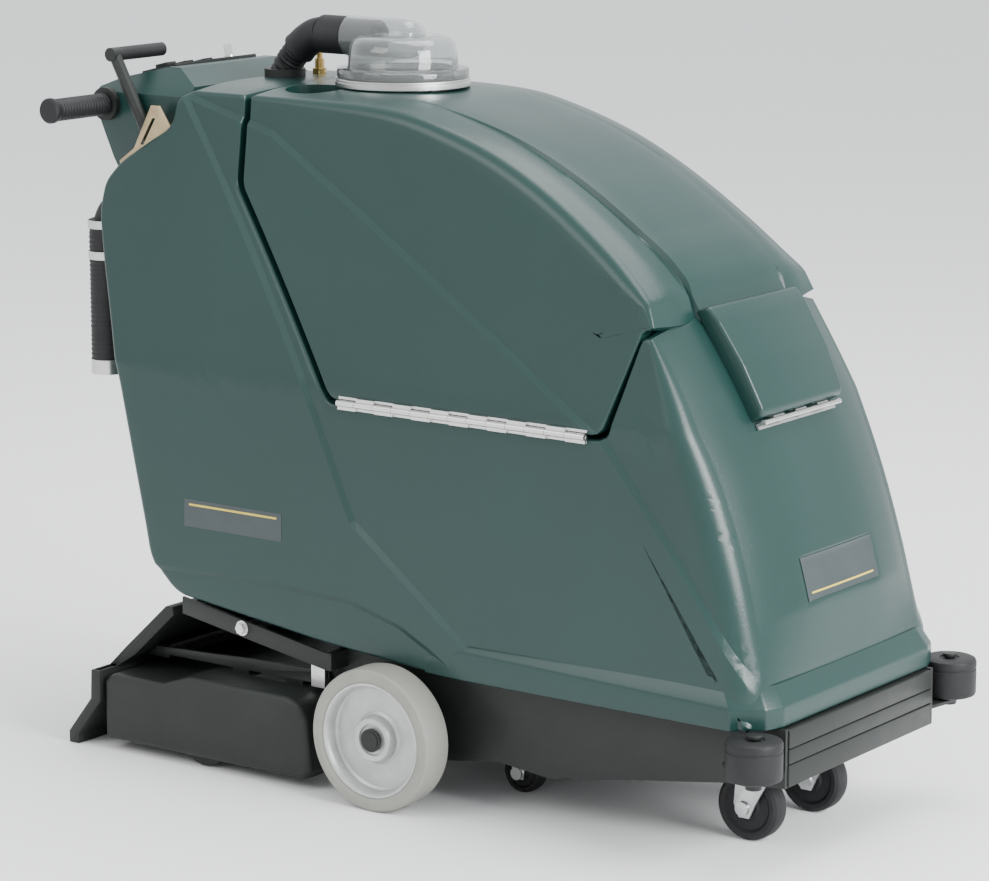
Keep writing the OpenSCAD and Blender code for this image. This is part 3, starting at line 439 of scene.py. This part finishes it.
def film(source, low, high, planes, name, material, lift, thick=0.5, replaces=()):
    bm = source.copy()
    keep = set(cut_rectangle(bm, low, high, planes))
    bmesh.ops.delete(bm, geom=[f for f in bm.faces if f not in keep], context="FACES")
    bm.normal_update()
    for vert in bm.verts:
        vert.co += vert.normal * lift * MM
    shell = bmesh.ops.extrude_face_region(bm, geom=bm.faces[:])["geom"]
    for vert in [g for g in shell if isinstance(g, bmesh.types.BMVert)]:
        vert.co += vert.normal * thick * MM
    return finish_piece(bm, name, material, "machine", replaces, smooth=40)

# %% [markdown]
# ## The moulded shell
# The lower body and the tank are two rotation mouldings with one flowing outline. Each is made as
# a sheet that is wrapped round a side view: one way it runs round the outline, the other way it
# runs from the middle of one flank, over the rounded edge and the crown, to the middle of the
# other flank. `create_grid` gives the sheet, and one function bends it into place.

# %% Side outlines with rounded corners
def rounded(points, step):
    """Points (x, z, along, corner, edge): samples a closed outline about every step mm."""
    table = []
    n = len(points)
    for i, (x, z, along, corner, edge) in enumerate(points):
        here, before, after = [np.array((q[0], q[1], q[2], q[4]), float)
                               for q in (points[i], points[i - 1], points[(i + 1) % n])]
        if corner < 0.5:
            table.append(here)
            continue
        la, lb = np.hypot(*(before - here)[:2]), np.hypot(*(after - here)[:2])
        start = here + (before - here) * min(corner / la, 0.5)
        end = here + (after - here) * min(corner / lb, 0.5)
        for s in np.linspace(0, 1, 9):
            table.append(start * (1 - s) ** 2 + here * 2 * s * (1 - s) + end * s * s)
    table.append(table[0])
    table = np.array(table)
    lengths = np.concatenate([[0], np.cumsum(np.hypot(*np.diff(table[:, :2], axis=0).T))])
    count = int(lengths[-1] / step)
    at = np.linspace(0, lengths[-1], count + 1)
    return np.column_stack([np.interp(at, lengths, table[:, k]) for k in range(4)])


# %% [markdown]
# The flanks are upright low down and lean in above the hinge, as a plastic shell that has to leave
# its mould does. Two stepped lines cross them: the cheek behind the first one stands proud, and
# the panel above the second one is let in.

# %% Flank of the shell
LEAN = np.array([(1 - t) ** 2 * np.array((234, 578)) + 2 * t * (1 - t) * np.array((192, 780))
                 + t * t * np.array((182, 960)) for t in np.linspace(0, 1, 30)])
FLANK_Z = np.concatenate([[0, 253, 544], LEAN[:, 1], [1020]])
FLANK_Y = np.concatenate([[241, 241, 234], LEAN[:, 0], [176]])
CHEEK_LINE = [(-407, 962), (-156, 585), (-66, 395), (154, 228)]
PANEL_LINE = [(-407, 962), (-249, 918), (325, 568), (346, 559), (470, 410), (594, 238)]
SKIRT_LINE = [(-450, 281), (-283, 286), (-160, 284), (-67, 280), (17, 258), (69, 232), (123, 198)]
STEP_WIDTH = 8.0
STEP_CUTS = (-6.5, -4, 4, 6.5)
CHEEK_PROUD, PANEL_SUNK, SKIRT_SUNK = 5.0, 6.0, 4.0
FLANK_FROM = 120


def half_width(z):
    return np.interp(z, FLANK_Z, FLANK_Y)


def beyond(line, x, z):
    """Distance in mm past a line of points, with the side to the right of its way forward positive."""
    best, sign = np.full(np.shape(x), 1e9), np.zeros(np.shape(x))
    last = len(line) - 2
    for i, (a, b) in enumerate(zip(line, line[1:])):
        a, b = np.array(a, float), np.array(b, float)
        d = b - a
        length = np.hypot(*d)
        u = ((x - a[0]) * d[0] + (z - a[1]) * d[1]) / length ** 2
        u = np.clip(u, -9 if i == 0 else 0, 9 if i == last else 1)
        gap_x, gap_z = x - a[0] - u * d[0], z - a[1] - u * d[1]
        gap = np.hypot(gap_x, gap_z)
        side = np.sign(gap_z * d[0] - gap_x * d[1])
        closer = gap < best
        best, sign = np.where(closer, gap, best), np.where(closer, side, sign)
    return best * sign


def flank_level(x, z):
    past_cheek = np.clip(beyond(CHEEK_LINE, x, z) / STEP_WIDTH + 0.5, 0, 1)
    above_panel = np.clip(beyond(PANEL_LINE, x, z) / STEP_WIDTH + 0.5, 0, 1)
    below_skirt = np.clip(0.5 - beyond(SKIRT_LINE, x, z) / STEP_WIDTH, 0, 1)
    return CHEEK_PROUD * (1 - past_cheek) - PANEL_SUNK * above_panel - SKIRT_SUNK * below_skirt


# %% [markdown]
# The wrap itself: rows are stations across the shell. Near the middle they have fixed places, so
# that a groove or a step along the deck falls on a row, and further out they share the width.

# %% Wrap a sheet round an outline
INNER = [0, 40, 80, 102, 108, 110.5, 113, 118, 130]
OUTER = [0.2, 0.4, 0.6, 0.8, 0.93, 1.0]
SLOT_ROWS = [0, 25, 50, 66, 70, 73, 76, 80, 98, 115, 130, 150, 175.6, 176.4, 1.0]
ARC = 6
FLANK_ROWS = 9


def wrap_shell(outline, spine, step, crown, slot_test=None, plain_end=0):
    """Bends a grid round the outline and closes it along the spine. Returns a bmesh.

    plain_end is the radius in mm of a single face laid over the end of the spine."""
    table = rounded(outline, step)[:-1]
    count = len(table)
    spine_at = np.array([s[2] for s in spine])
    nodes = np.linspace(0, 1, 41)
    spine_x = np.interp(nodes, spine_at, [s[0] for s in spine])
    spine_z = np.interp(nodes, spine_at, [s[1] for s in spine])
    ahead = np.roll(table[:, :2], -1, axis=0) - np.roll(table[:, :2], 1, axis=0)
    ahead /= np.linalg.norm(ahead, axis=1)[:, None]
    area = np.sum(table[:, 0] * np.roll(table[:, 1], -1) - np.roll(table[:, 0], -1) * table[:, 1])
    outward = np.column_stack([ahead[:, 1], -ahead[:, 0]]) * np.sign(area)
    half = FLANK_ROWS + ARC + len(INNER) + len(OUTER) - 1
    rows = 2 * half + 1
    bm = bmesh.new()
    bmesh.ops.create_grid(bm, x_segments=count, y_segments=rows - 1, size=1.0)
    for vert in bm.verts:
        i = int(round((vert.co.x + 1) / 2 * count)) % count
        j = int(round((vert.co.y + 1) / 2 * (rows - 1)))
        side = -1.0 if j < half else 1.0
        row = abs(j - half)
        x, z, along, edge = table[i]
        out = outward[i]
        width = half_width(z)
        run = width - edge
        in_slot = slot_test is not None and slot_test(x, z)
        if row < len(INNER) + len(OUTER):
            if in_slot:
                y = run if row == len(SLOT_ROWS) - 1 else SLOT_ROWS[row]
            elif row < len(INNER):
                y = INNER[row]
            else:
                y = INNER[-1] + (run - INNER[-1]) * OUTER[row - len(INNER)]
            rise = crown(x, z, y, run)
            px, pz = x + out[0] * rise, z + out[1] * rise
            if in_slot and y < 176:
                px = max(px, -424.0)
        elif row < len(INNER) + len(OUTER) + ARC:
            turn = (row - len(INNER) - len(OUTER) + 1) / ARC * math.pi / 2
            inward = edge * (1 - math.cos(turn))
            px, pz = x - out[0] * inward, z - out[1] * inward
            y = run + edge * math.sin(turn)
            y += (half_width(pz) - width) * (1 - math.cos(turn))
        else:
            part = (row - len(INNER) - len(OUTER) - ARC + 1) / FLANK_ROWS
            px, pz = x - out[0] * edge, z - out[1] * edge
            k = int(round(np.interp(along, (0, 1), (0, 40))))
            px, pz = px + (spine_x[k] - px) * part, pz + (spine_z[k] - pz) * part
            y = half_width(pz)
        vert.co = (px * MM, side * y * MM, pz * MM)
    bmesh.ops.remove_doubles(bm, verts=bm.verts[:], dist=4e-4)
    bmesh.ops.dissolve_degenerate(bm, edges=bm.edges[:], dist=1e-5)
    if plain_end:
        end = Vector(spine[-1][:2]) * MM
        crowded = [v for v in bm.verts if abs(v.co.y) > 0.15 and (v.co.xz - end).length < plain_end * MM]
        bmesh.ops.delete(bm, geom=crowded, context="VERTS")
        bmesh.ops.holes_fill(bm, edges=[e for e in bm.edges if e.is_boundary], sides=0)
    return bm


# %% [markdown]
# A step only looks crisp when edges run along it. So `bisect_plane` cuts the flanks along both
# sides of each line first, and then the flank is moved in or out. Moving comes last because the
# cuts leave new points that have to move too.

# %% Cut the step lines and set the levels
def cut_lines(bm, line, offsets, least_y):
    for a, b in zip(line, line[1:]):
        direction = Vector((b[0] - a[0], 0, b[1] - a[1])).normalized()
        normal = Vector((-direction.z, 0, direction.x))
        for offset in offsets:
            faces = [f for f in bm.faces if abs(f.calc_center_median().y) > least_y * MM]
            parts = set(faces)
            for f in faces:
                parts.update(f.edges)
                parts.update(f.verts)
            point = Vector((a[0] * MM, 0, a[1] * MM)) + normal * offset * MM
            bmesh.ops.bisect_plane(bm, geom=list(parts), dist=1e-6, plane_co=point, plane_no=normal)


def set_levels(bm):
    count = 0
    for vert in bm.verts:
        x, y, z = vert.co / MM
        share = min(1.0, max(0.0, (abs(y) / float(half_width(z)) - 0.72) / 0.2))
        if share:
            level = float(flank_level(x, z)) * share
            vert.co.y += level * MM * (1 if y > 0 else -1)
            count += 1
    return count


# %% [markdown]
# The deck and nose are crowned: flat over the middle and falling to the shoulders, by 8 mm on the
# deck and 22 mm on the nose. Towards the foot of the nose the crown fades away, so that the shell
# meets the straight lip. An outline point is (x, z, place along the spine, corner, edge radius).

# %% Crown of deck and nose
CROWN_FLAT = 60
CROWN_POWER = 1.8
SHELL_STEP = 7.0


def crown_height(x, y, run):
    past = max(0.0, (abs(y) - CROWN_FLAT) / (run - CROWN_FLAT))
    return float(np.interp(x, (-60, 60, 250, 400), (8, 11, 18, 22))) * (1 - past ** CROWN_POWER)


def crown_of_body(x, z, y, run):
    if z < 205 or x < -402 or (x < 398 and z < 960):
        return 0.0
    return crown_height(x, y, run) * min(1.0, max(0.0, (z - 235) / 100))


LOWER_OUTLINE = [
    (-402, 968, 0, 6, 6), (-420, 952, .02, 5, 5), (-428, 916, .05, 20, 5), (-460, 898, .1, 12, 5),
    (-522, 860, .13, 14, 5), (-550, 830, .16, 14, 5), (-558, 786, .2, 20, 6), (-544, 716, .28, 20, 8),
    (-498, 549, .32, 20, 10), (-472, 440, .34, 20, 10), (-448, 340, .35, 20, 10), (-437, 288, .36, 24, 10),
    (-390, 246, .38, 20, 8), (-120, 214, .45, 30, 6), (60, 200, .55, 20, 6), (582, 200, .8, 3, 5),
    (588, 212, .8, 0, 36), (588, 247, .81, 12, 38), (578, 286, .82, 99, 40), (550, 395, .84, 99, 40),
    (513, 503, .88, 99, 38), (463, 603, .93, 99, 25), (434, 652, .97, 20, 15), (405, 697, .995, 3, 5),
    (391, 693, 1, 5, 5),
    (350, 556, .88, 14, 5),
    (-112, 556, .4, 10, 5), (-308, 842, .08, 12, 5), (-303, 968, 0, 5, 5),
]
LOWER_SPINE = [(-360, 905, 0), (-400, 760, .12), (-300, 520, .3), (-150, 400, .42), (200, 380, .65),
               (440, 440, .82), (428, 540, .88), (402, 612, .93), (397, 676, 1)]


def in_cheek_slot(x, z):
    return x < -421 and z > 765


body_bm = wrap_shell(LOWER_OUTLINE, LOWER_SPINE, SHELL_STEP, crown_of_body, in_cheek_slot)
cut_lines(body_bm, CHEEK_LINE, STEP_CUTS, FLANK_FROM)
cut_lines(body_bm, PANEL_LINE, STEP_CUTS, FLANK_FROM)
cut_lines(body_bm, SKIRT_LINE, STEP_CUTS[1:3], FLANK_FROM)
print("flank points moved:", set_levels(body_bm))
bmesh.ops.recalc_face_normals(body_bm, faces=body_bm.faces[:])
SEAT_DEPTH = 2.2
seat = cut_rectangle(body_bm, (480, -95, 341), (620, 95, 405), "yz")
for vert in {v for f in seat for v in f.verts}:
    if abs(vert.co.y) < 94.5 * MM and 341.5 * MM < vert.co.z < 404.5 * MM:
        vert.co.x -= SEAT_DEPTH * MM
cut_rectangle(body_bm, (480, -93, 343), (620, 93, 403), "yz")
film(body_bm, (480, -91.5, 344.5), (620, 91.5, 401.5), "yz", "nose_plate", BADGE, 0.2, 0.9,
     replaces=["badge_plate"])
for side, low_y, high_y in (("right", -260, -150), ("left", 150, 260)):
    film(body_bm, (-369, low_y, 350), (-190, high_y, 390), "xz", "flank_film_" + side, BADGE, 0.1, 0.3)
    film(body_bm, (-360, low_y, 381), (-199, high_y, 384), "xz", "flank_stripe_" + side, GOLD, 0.45, 0.2)
film(body_bm, (480, -80, 353), (620, 80, 355.5), "yz", "nose_stripe", GOLD, 1.2, 0.2)
lower_shell = finish_piece(body_bm, "lower_shell", GREEN, "machine", ["lower_body"], smooth=20)
print("lower shell faces:", len(lower_shell.data.polygons))

# %% [markdown]
# The tank is the same kind of moulding. Its deck has a raised middle panel between two grooves
# that deepen towards the nose, where the moulding ends in a thick lip over the filler door. The
# middle of that lip is set back as a finger hold. Its deck also has a round hand recess and the
# port under the dome.

# %% Recovery tank
GROOVE_IN, GROOVE_OUT, GROOVE_FADE = 109, 115, 150
PANEL_RISE, GROOVE_DEPTH, SHOULDER_DIP = 1.0, 6.0, 3.5
PANEL_REAR = -60


def crown_of_tank(x, z, y, run):
    deck_z = float(np.interp(x, (-303, -54, 133, 320, 404), (960, 960, 908, 790, 700)))
    if (z < 712 and x < 398) or (x < 386 and z < deck_z):
        return 0.0
    rise = crown_height(x, y, run) * float(np.interp(z, (705, 770), (0.6, 1)))
    depth = float(np.interp(x, (PANEL_REAR, 60, 300), (0, 0.35, 1)))
    if x > PANEL_REAR:
        if abs(y) < GROOVE_IN:
            rise += PANEL_RISE * depth
        elif abs(y) < GROOVE_OUT:
            rise -= GROOVE_DEPTH * depth
        elif abs(y) < GROOVE_FADE:
            rise -= SHOULDER_DIP * depth * (GROOVE_FADE - abs(y)) / (GROOVE_FADE - GROOVE_OUT)
    return rise


TANK_OUTLINE = [
    (-294, 968, 0, 6, 6), (-298, 842, 0, 12, 6), (-107, 562, .35, 10, 5), (342, 562, .86, 14, 5),
    (392, 703, .96, 5, 5), (409, 707, .98, 4, 4), (396, 738, .99, 7, 8), (366, 765, .98, 30, 16),
    (320, 804, .9, 99, 20), (228, 867, .75, 99, 21),
    (133, 916, .6, 99, 21), (42, 946, .45, 99, 20), (-54, 968, .3, 99, 18),
]
TANK_SPINE = [(-200, 850, 0), (-60, 740, .35), (100, 700, .6), (290, 672, 1)]
tank_bm = wrap_shell(TANK_OUTLINE, TANK_SPINE, SHELL_STEP, crown_of_tank, plain_end=32)
cut_lines(tank_bm, PANEL_LINE[:3], STEP_CUTS, FLANK_FROM)
set_levels(tank_bm)
UP_THE_DECK = Vector((-0.62, 0, 0.78))
FINGER_HOLD = 15
for vert in tank_bm.verts:
    x, y, z = vert.co / MM
    if x > 300 and abs(y) < 112 and z > 724:
        vert.co += UP_THE_DECK * FINGER_HOLD * MM * float(np.interp(z, (770, 815), (1, 0)))
sink_round(tank_bm, x=-238, y=-98, radius=42, depth=28)
sink_round(tank_bm, x=-156, y=0, radius=75, depth=60)
tank_shell = finish_piece(tank_bm, "tank_shell", GREEN, "tank", ["recovery_tank"], smooth=20)
print("tank faces:", len(tank_shell.data.polygons))

# %% [markdown]
# ## Lip, door and console
# A thick lip runs round the front of the lower body. It is an outline with chamfered corners,
# extruded upwards. Its roof climbs towards the back, and a second extrusion, drawn inwards, makes
# the sloped flare that carries the nose down into the lip.

# %% Lip round the lower body
LIP = [(60, -242), (130, -248), (560, -248), (598, -218), (608, -190), (608, 190), (598, 218), (560, 248),
       (130, 248), (60, 242)]
lip_bm = bmesh.new()
LIP_LOW, LIP_HIGH = 199, 233
plate(lip_bm, LIP, LIP_LOW, LIP_HIGH, "xy", bevel=0)
roof = [f for f in lip_bm.faces if f.normal.z > 0.9]
for vert in {v for f in roof for v in f.verts}:
    vert.co.z = float(np.interp(vert.co.x, (0.03, 0.12, 0.35, 0.608), (0.210, 0.240, 0.234, 0.227)))
flare = bmesh.ops.extrude_face_region(lip_bm, geom=roof)["geom"]
bmesh.ops.delete(lip_bm, geom=roof, context="FACES")
for vert in [g for g in flare if isinstance(g, bmesh.types.BMVert)]:
    front = max(0.0, min(1.0, (vert.co.x - 0.122) / 0.4))
    vert.co.x -= 16 * MM * front
    vert.co.y *= 1 - 0.026 - 0.01 * front
    vert.co.z += (8 + 18 * front) * MM
bmesh.ops.bevel(lip_bm, geom=lip_bm.edges[:], offset=2.5 * MM, segments=3, profile=0.5, affect="EDGES",
                material=-1, clamp_overlap=True)
finish_piece(lip_bm, "body_lip", GREEN, "machine", smooth=50)

# %% [markdown]
# The filler door is a wedge: thin under the tank's lip and thick at its hinge, and a little wider
# at the top. Its edges are soft, like those of any moulded lid.

# %% Filler door
DOOR_FOOT, DOOR_HEAD = Vector((499, 578)), Vector((419, 729))
DOOR_UP = (DOOR_HEAD - DOOR_FOOT).normalized()
DOOR_OUT = Vector((DOOR_UP.y, -DOOR_UP.x))


def on_door(up, out):
    point = DOOR_FOOT + DOOR_UP * up + DOOR_OUT * out
    return (point.x, point.y)


door_bm = bmesh.new()
DOOR_HALF, DOOR_WIDENS = 102, 0.1
DOOR_SIDE = [(0, -6), (1, 17), (9, 23), (75, 25), (140, 19), (163, 13), (166, -10)]
plate(door_bm, [on_door(up, out) for up, out in DOOR_SIDE], -DOOR_HALF, DOOR_HALF, "xz", bevel=0)
for vert in door_bm.verts:
    vert.co.y *= 1 + DOOR_WIDENS * (vert.co.z - 0.578) / 0.151
bmesh.ops.bevel(door_bm, geom=door_bm.edges[:], offset=5 * MM, segments=4, profile=0.5, affect="EDGES",
                material=-1, clamp_overlap=True)
finish_piece(door_bm, "filler_door", GREEN, "door", ["access_door"], smooth=50)

# %% [markdown]
# Many pieces already have their true shape in the frame, but with knife edges. Real pressings
# and mouldings catch light on rounded edges, so a copy of each mesh is merged, its flat faces are
# dissolved into large ones, and its sharp edges are bevelled.

# %% Soften the edges of a frame piece
BODY_OF = {node: body for body, members in frame["record"]["behaviour"]["bodies"].items() for node in members}


def softened(node, material, width, segments=2, where=None, sharp=28):
    bm = bmesh.new()
    bm.from_mesh(frame["nodes"][node].data)
    bmesh.ops.remove_doubles(bm, verts=bm.verts[:], dist=2e-5)
    bmesh.ops.dissolve_limit(bm, angle_limit=math.radians(1.0), verts=bm.verts[:], edges=bm.edges[:])
    edges = [e for e in bm.edges if len(e.link_faces) == 2 and e.calc_face_angle(0) > math.radians(sharp)
             and (where is None or where((e.verts[0].co + e.verts[1].co) / 2 / MM))]
    bmesh.ops.bevel(bm, geom=edges, offset=width * MM, segments=segments, profile=0.5, affect="EDGES",
                    material=-1, clamp_overlap=True)
    return finish_piece(bm, node + "_soft", material, BODY_OF[node], [node], smooth=40)


softened("console_housing", GREEN, 7, 4, where=lambda p: p.z > 815)
softened("brush_housing", BLACK_PLASTIC, 9, 4, where=lambda p: abs(p.y) > 269 or p.z > 113.5)
softened("chassis_frame", BLACK_PAINT, 1.2)
softened("counterweight_plates", BLACK_PAINT, 1.5)
softened("head_frame", BLACK_PAINT, 1.2)
softened("vac_shoe", BLACK_PLASTIC, 1.0)
softened("roller_brackets", BLACK_PAINT, 1.0)
softened("console_panel", BLACK_PLASTIC, 0.8)
softened("rocker_pump", RUBBER, 1.2)
softened("rocker_vacuum", RUBBER, 1.2)
softened("hour_meter", BLACK_PLASTIC, 1.0)
softened("lever_bracket", YELLOW_ZINC, 0.5)
softened("batteries", BLACK_PLASTIC, 5, 3)
for hand in ("right", "left"):
    softened("caster_fork_" + hand, ZINC, 0.9)

# %% [markdown]
# ## Wheels and rollers
# The drive wheels have a cast rim with a rolled edge, a sunk web and a raised hub, inside a solid
# grey tyre. Their section is drawn once and spun.

# %% Drive wheels
RIM_SECTION = [(82.6, 1), (82.6, 48.5), (81, 50.5), (78.5, 50.3), (76, 47.5), (74.5, 42), (73.5, 33),
               (70, 30.5), (38, 29.5), (34, 32), (32, 42), (30, 45), (25, 45.5), (22.5, 44.5), (21.5, 41),
               (12.5, 41), (12.5, 3), (28, 3), (31, 18), (66, 20), (73, 17), (76, 3), (79, 1)]
TYRE_SECTION = [(82.4, 1), (98, 0.6), (100.6, 2.6), (101.6, 7), (101.6, 44), (100.6, 48.4), (98, 50.4),
                (92, 51), (84.5, 50.6), (82.4, 49.5)]
OUT_OF = {"right": Matrix.Rotation(math.pi / 2, 4, "X"), "left": Matrix.Rotation(-math.pi / 2, 4, "X")}
SIGN = {"right": -1, "left": 1}
WHEEL_IN, AXLE_Z = 0.239, 0.1016
for hand in ("right", "left"):
    hub = Vector((0, SIGN[hand] * WHEEL_IN, AXLE_Z))
    rim_bm = bmesh.new()
    turned(rim_bm, RIM_SECTION, hub, OUT_OF[hand], steps=96)
    finish_piece(rim_bm, "cast_rim_" + hand, RIM, "drive_wheel_" + hand,
                 ["wheel_rim_" + hand], 30)
    tyre_bm = bmesh.new()
    turned(tyre_bm, TYRE_SECTION, hub, OUT_OF[hand], steps=96)
    finish_piece(tyre_bm, "solid_tyre_" + hand, TYRE, "drive_wheel_" + hand,
                 ["wheel_tyre_" + hand], 30)

# %% [markdown]
# The bumper rollers and caster wheels are turned too: the rollers have a shallow groove, and the
# caster wheels have a rounded tread on a thinner web.

# %% Bumper rollers and caster wheels
ROLLER_SECTION = [(6.1, 0), (33, 0), (36.5, 1.6), (38, 5), (38, 38), (37, 39.2), (37, 41), (38, 42.2),
                  (38, 49), (36.5, 52.4), (33, 54), (14, 54), (13, 52.5), (6.1, 52.5)]


def wheel_section(radius, bore, half):
    side = [(0.97 * radius, half - 4), (0.88 * radius, half - 0.6), (0.76 * radius, half - 0.8),
            (0.68 * radius, half - 4), (0.42 * radius, half - 3), (0.36 * radius, half), (bore, half)]
    return [(r, -h) for r, h in reversed(side)] + [(radius, 9 - half), (radius, half - 9)] + side


CASTERS = (("front", "caster_wheel_", 494, 48, 6.1, 16), ("mid", "mid_caster_wheel_", 118, 31, 5.1, 14))
CASTER_Y = 81
for hand in ("right", "left"):
    roller_bm = bmesh.new()
    turned(roller_bm, ROLLER_SECTION, Vector((0.605, SIGN[hand] * 0.258, 0.145)), "z", steps=64)
    finish_piece(roller_bm, "roller_" + hand, RUBBER, "roller_" + hand,
                 ["bumper_roller_" + hand], 30)
    for where, node, x, radius, bore, half in CASTERS:
        wheel_bm = bmesh.new()
        hub = Vector((x, SIGN[hand] * CASTER_Y, radius)) * MM
        turned(wheel_bm, wheel_section(radius, bore, half), hub, "y", steps=72)
        finish_piece(wheel_bm, where + "_wheel_tread_" + hand, RUBBER, where + "_wheel_" + hand,
                     [node + hand], 30)

# %% [markdown]
# ## Dome, cuff and hose
# The clear lid is a drum with a rounded shoulder on a wide flange. A snout crosses its top and ends
# in a round nose. Under the flange a dark gasket with lugs shows through as light and dark squares.

# %% Clear dome
DOME_FOOT = Vector((-0.156, 0, 0.988))
LUGS = 20
DOME_SECTION = [(94, 0), (94.5, 11), (93, 13.5), (80.5, 14.5), (79, 17), (77.5, 38), (75, 48), (69, 55),
                (60, 58.5), (0, 60), (0, 57), (58, 55.5), (66.5, 52.5), (71.5, 46.5), (74, 38), (75.5, 17),
                (75.5, 0)]
dome_bm = bmesh.new()
turned(dome_bm, DOME_SECTION, DOME_FOOT, "z", steps=96)
finish_piece(dome_bm, "clear_drum", CLEAR, "lid", ["dome_lid"], 35)
SNOUT_SECTION = [(26, 0), (29, 0), (29, 96), (28, 108), (24, 117), (16, 122.5), (0, 124.5), (0, 121.5),
                 (15, 119.5), (21.5, 114.5), (25, 107), (26, 96)]
snout_bm = bmesh.new()
turned(snout_bm, SNOUT_SECTION, Vector((-0.250, 0, 1.0415)), "x", steps=64)
finish_piece(snout_bm, "clear_snout", CLEAR, "lid", smooth=35)
lug_bm = bmesh.new()
turned(lug_bm, [(77, 0.3), (92.5, 0.3), (92.5, 2.2), (77, 2.2)], DOME_FOOT, "z", steps=96)
for k in range(LUGS):
    lug = grow([v for v in block(lug_bm, (84, -8, 2), (92, 8, 11), bevel=1.0) if v.is_valid])
    turn = Matrix.Translation(DOME_FOOT) @ Matrix.Rotation(2 * math.pi * k / LUGS, 4, "Z")
    bmesh.ops.transform(lug_bm, matrix=turn, verts=list(lug))
finish_piece(lug_bm, "dome_gasket", RUBBER, "lid", smooth=35)
ring_bm = bmesh.new()
turned(ring_bm, [(75, 0), (95.5, 0), (97, 1.5), (97, 7), (95.8, 8.2), (95.8, 9.6), (97, 10.8), (96, 12),
                 (75, 12)], Vector((-0.156, 0, 0.976)), "z", steps=96)
finish_piece(ring_bm, "deck_ring", STEEL, BODY_OF["dome_ring"], ["dome_ring"], 35)

# %% [markdown]
# The hose is corrugated: its radius rises and falls as it is swept up from the deck. A smooth
# rubber elbow turns it level and plugs it into the snout.

# %% Vacuum hose and elbow cuff
def ribs(radius, depth, pitch):
    return lambda length: radius + depth * math.cos(2 * math.pi * length / pitch)


hose_bm = bmesh.new()
HOSE_ROUTE = [(-372, 0, 972), (-371, 0, 986), (-358, 0, 1004), (-338, 0, 1024), (-326, 0, 1034)]
swept(hose_bm, smooth_route(HOSE_ROUTE, 1.6), ribs(radius=19.5, depth=2.0, pitch=7.0), sides=36)
finish_piece(hose_bm, "vacuum_hose_ribbed", RUBBER, BODY_OF["vacuum_hose"],
             ["vacuum_hose"], 50)
elbow_bm = bmesh.new()
ELBOW_ROUTE = [(-345, 0, 1018), (-332, 0, 1029), (-318, 0, 1037.5), (-309, 0, 1040.5), (-301, 0, 1041.5)]
swept(elbow_bm, smooth_route(ELBOW_ROUTE, 3), lambda length: 24.5 + 0.9 * math.exp(-length / 4), sides=40)
finish_piece(elbow_bm, "hose_elbow", RUBBER, BODY_OF["vacuum_hose"], smooth=50)
cuff_bm = bmesh.new()
turned(cuff_bm, [(20, 0), (26, 0), (27.8, 1.5), (27.8, 47), (26.8, 48), (24.9, 49), (24.9, 101), (20, 101)],
       Vector((-0.2995, 0, 1.0415)), "x", steps=64)
finish_piece(cuff_bm, "snout_cuff", RUBBER, BODY_OF["lid_cuff"], ["lid_cuff"], 35)

# %% [markdown]
# ## Handles and drain
# The twist grips are rubber sleeves with fine rings, flared at the outer end so that a hand can't
# slip off. The drain hose hangs from its elbow behind the cheek, under two bright clamps.

# %% Twist grips
GRIP_SECTION = [(8, -3), (8, 9.6), (15, 9.6), (16.2, 11)]
for ring in range(17):
    GRIP_SECTION += [(16.4, 14 + ring * 6), (15.7, 16 + ring * 6), (15.7, 18 + ring * 6)]
GRIP_SECTION += [(16.6, 118), (18.4, 121), (18.4, 126), (16, 129), (0, 129), (0, -3)]
for hand in ("right", "left"):
    grip_bm = bmesh.new()
    turned(grip_bm, GRIP_SECTION, Vector((-0.583, SIGN[hand] * 0.150, 0.936)), OUT_OF[hand], steps=48)
    finish_piece(grip_bm, "grip_sleeve_" + hand, RUBBER, "grip_" + hand,
                 ["twist_grip_" + hand], 35)

# %% Drain hose
drain_bm = bmesh.new()
DRAIN_Y = -124
DRAIN_LINE = [(-616.8, 552), (-616.8, 600), (-616.8, 700), (-616.8, 736), (-614, 758), (-604, 775),
              (-588, 784), (-570, 786), (-500, 786), (-412, 786)]
RIBBED_LENGTH = 206
swept(drain_bm, smooth_route([(x, DRAIN_Y, z) for x, z in DRAIN_LINE], 2.5),
      lambda length: 24.2 + 0.7 * math.cos(length * 0.9) if length < RIBBED_LENGTH else 19.0, sides=36)
finish_piece(drain_bm, "drain_hose_ribbed", RUBBER, BODY_OF["drain_hose"], ["drain_hose"], 50)


# %% [markdown]
# ## Pieces kept from the frame
# Hinges, pins, motors and fittings already have their final shape, so they only get a finish.
# The table follows the names of the record.

# %% Keep the CAD nodes and give each its finish
SLOT_FINISH = {"green_shell": GREEN, "black_steel": BLACK_PAINT, "stainless": STEEL, "black_rubber": RUBBER,
               "grey_tyre": TYRE, "rim_paint": RIM, "black_plastic": BLACK_PLASTIC, "machinery": CAST,
               "cast_black": CAST, "brass": BRASS, "zinc_yellow": YELLOW_ZINC, "clear_dome": CLEAR}
for part in frame["record"]["subparts"]:
    node = frame["nodes"][part["node"]]
    skin = SLOT_FINISH[part["material_slot"]]
    if not node.material_slots:
        node.data.materials.append(skin)
    for place in node.material_slots:
        place.material = skin
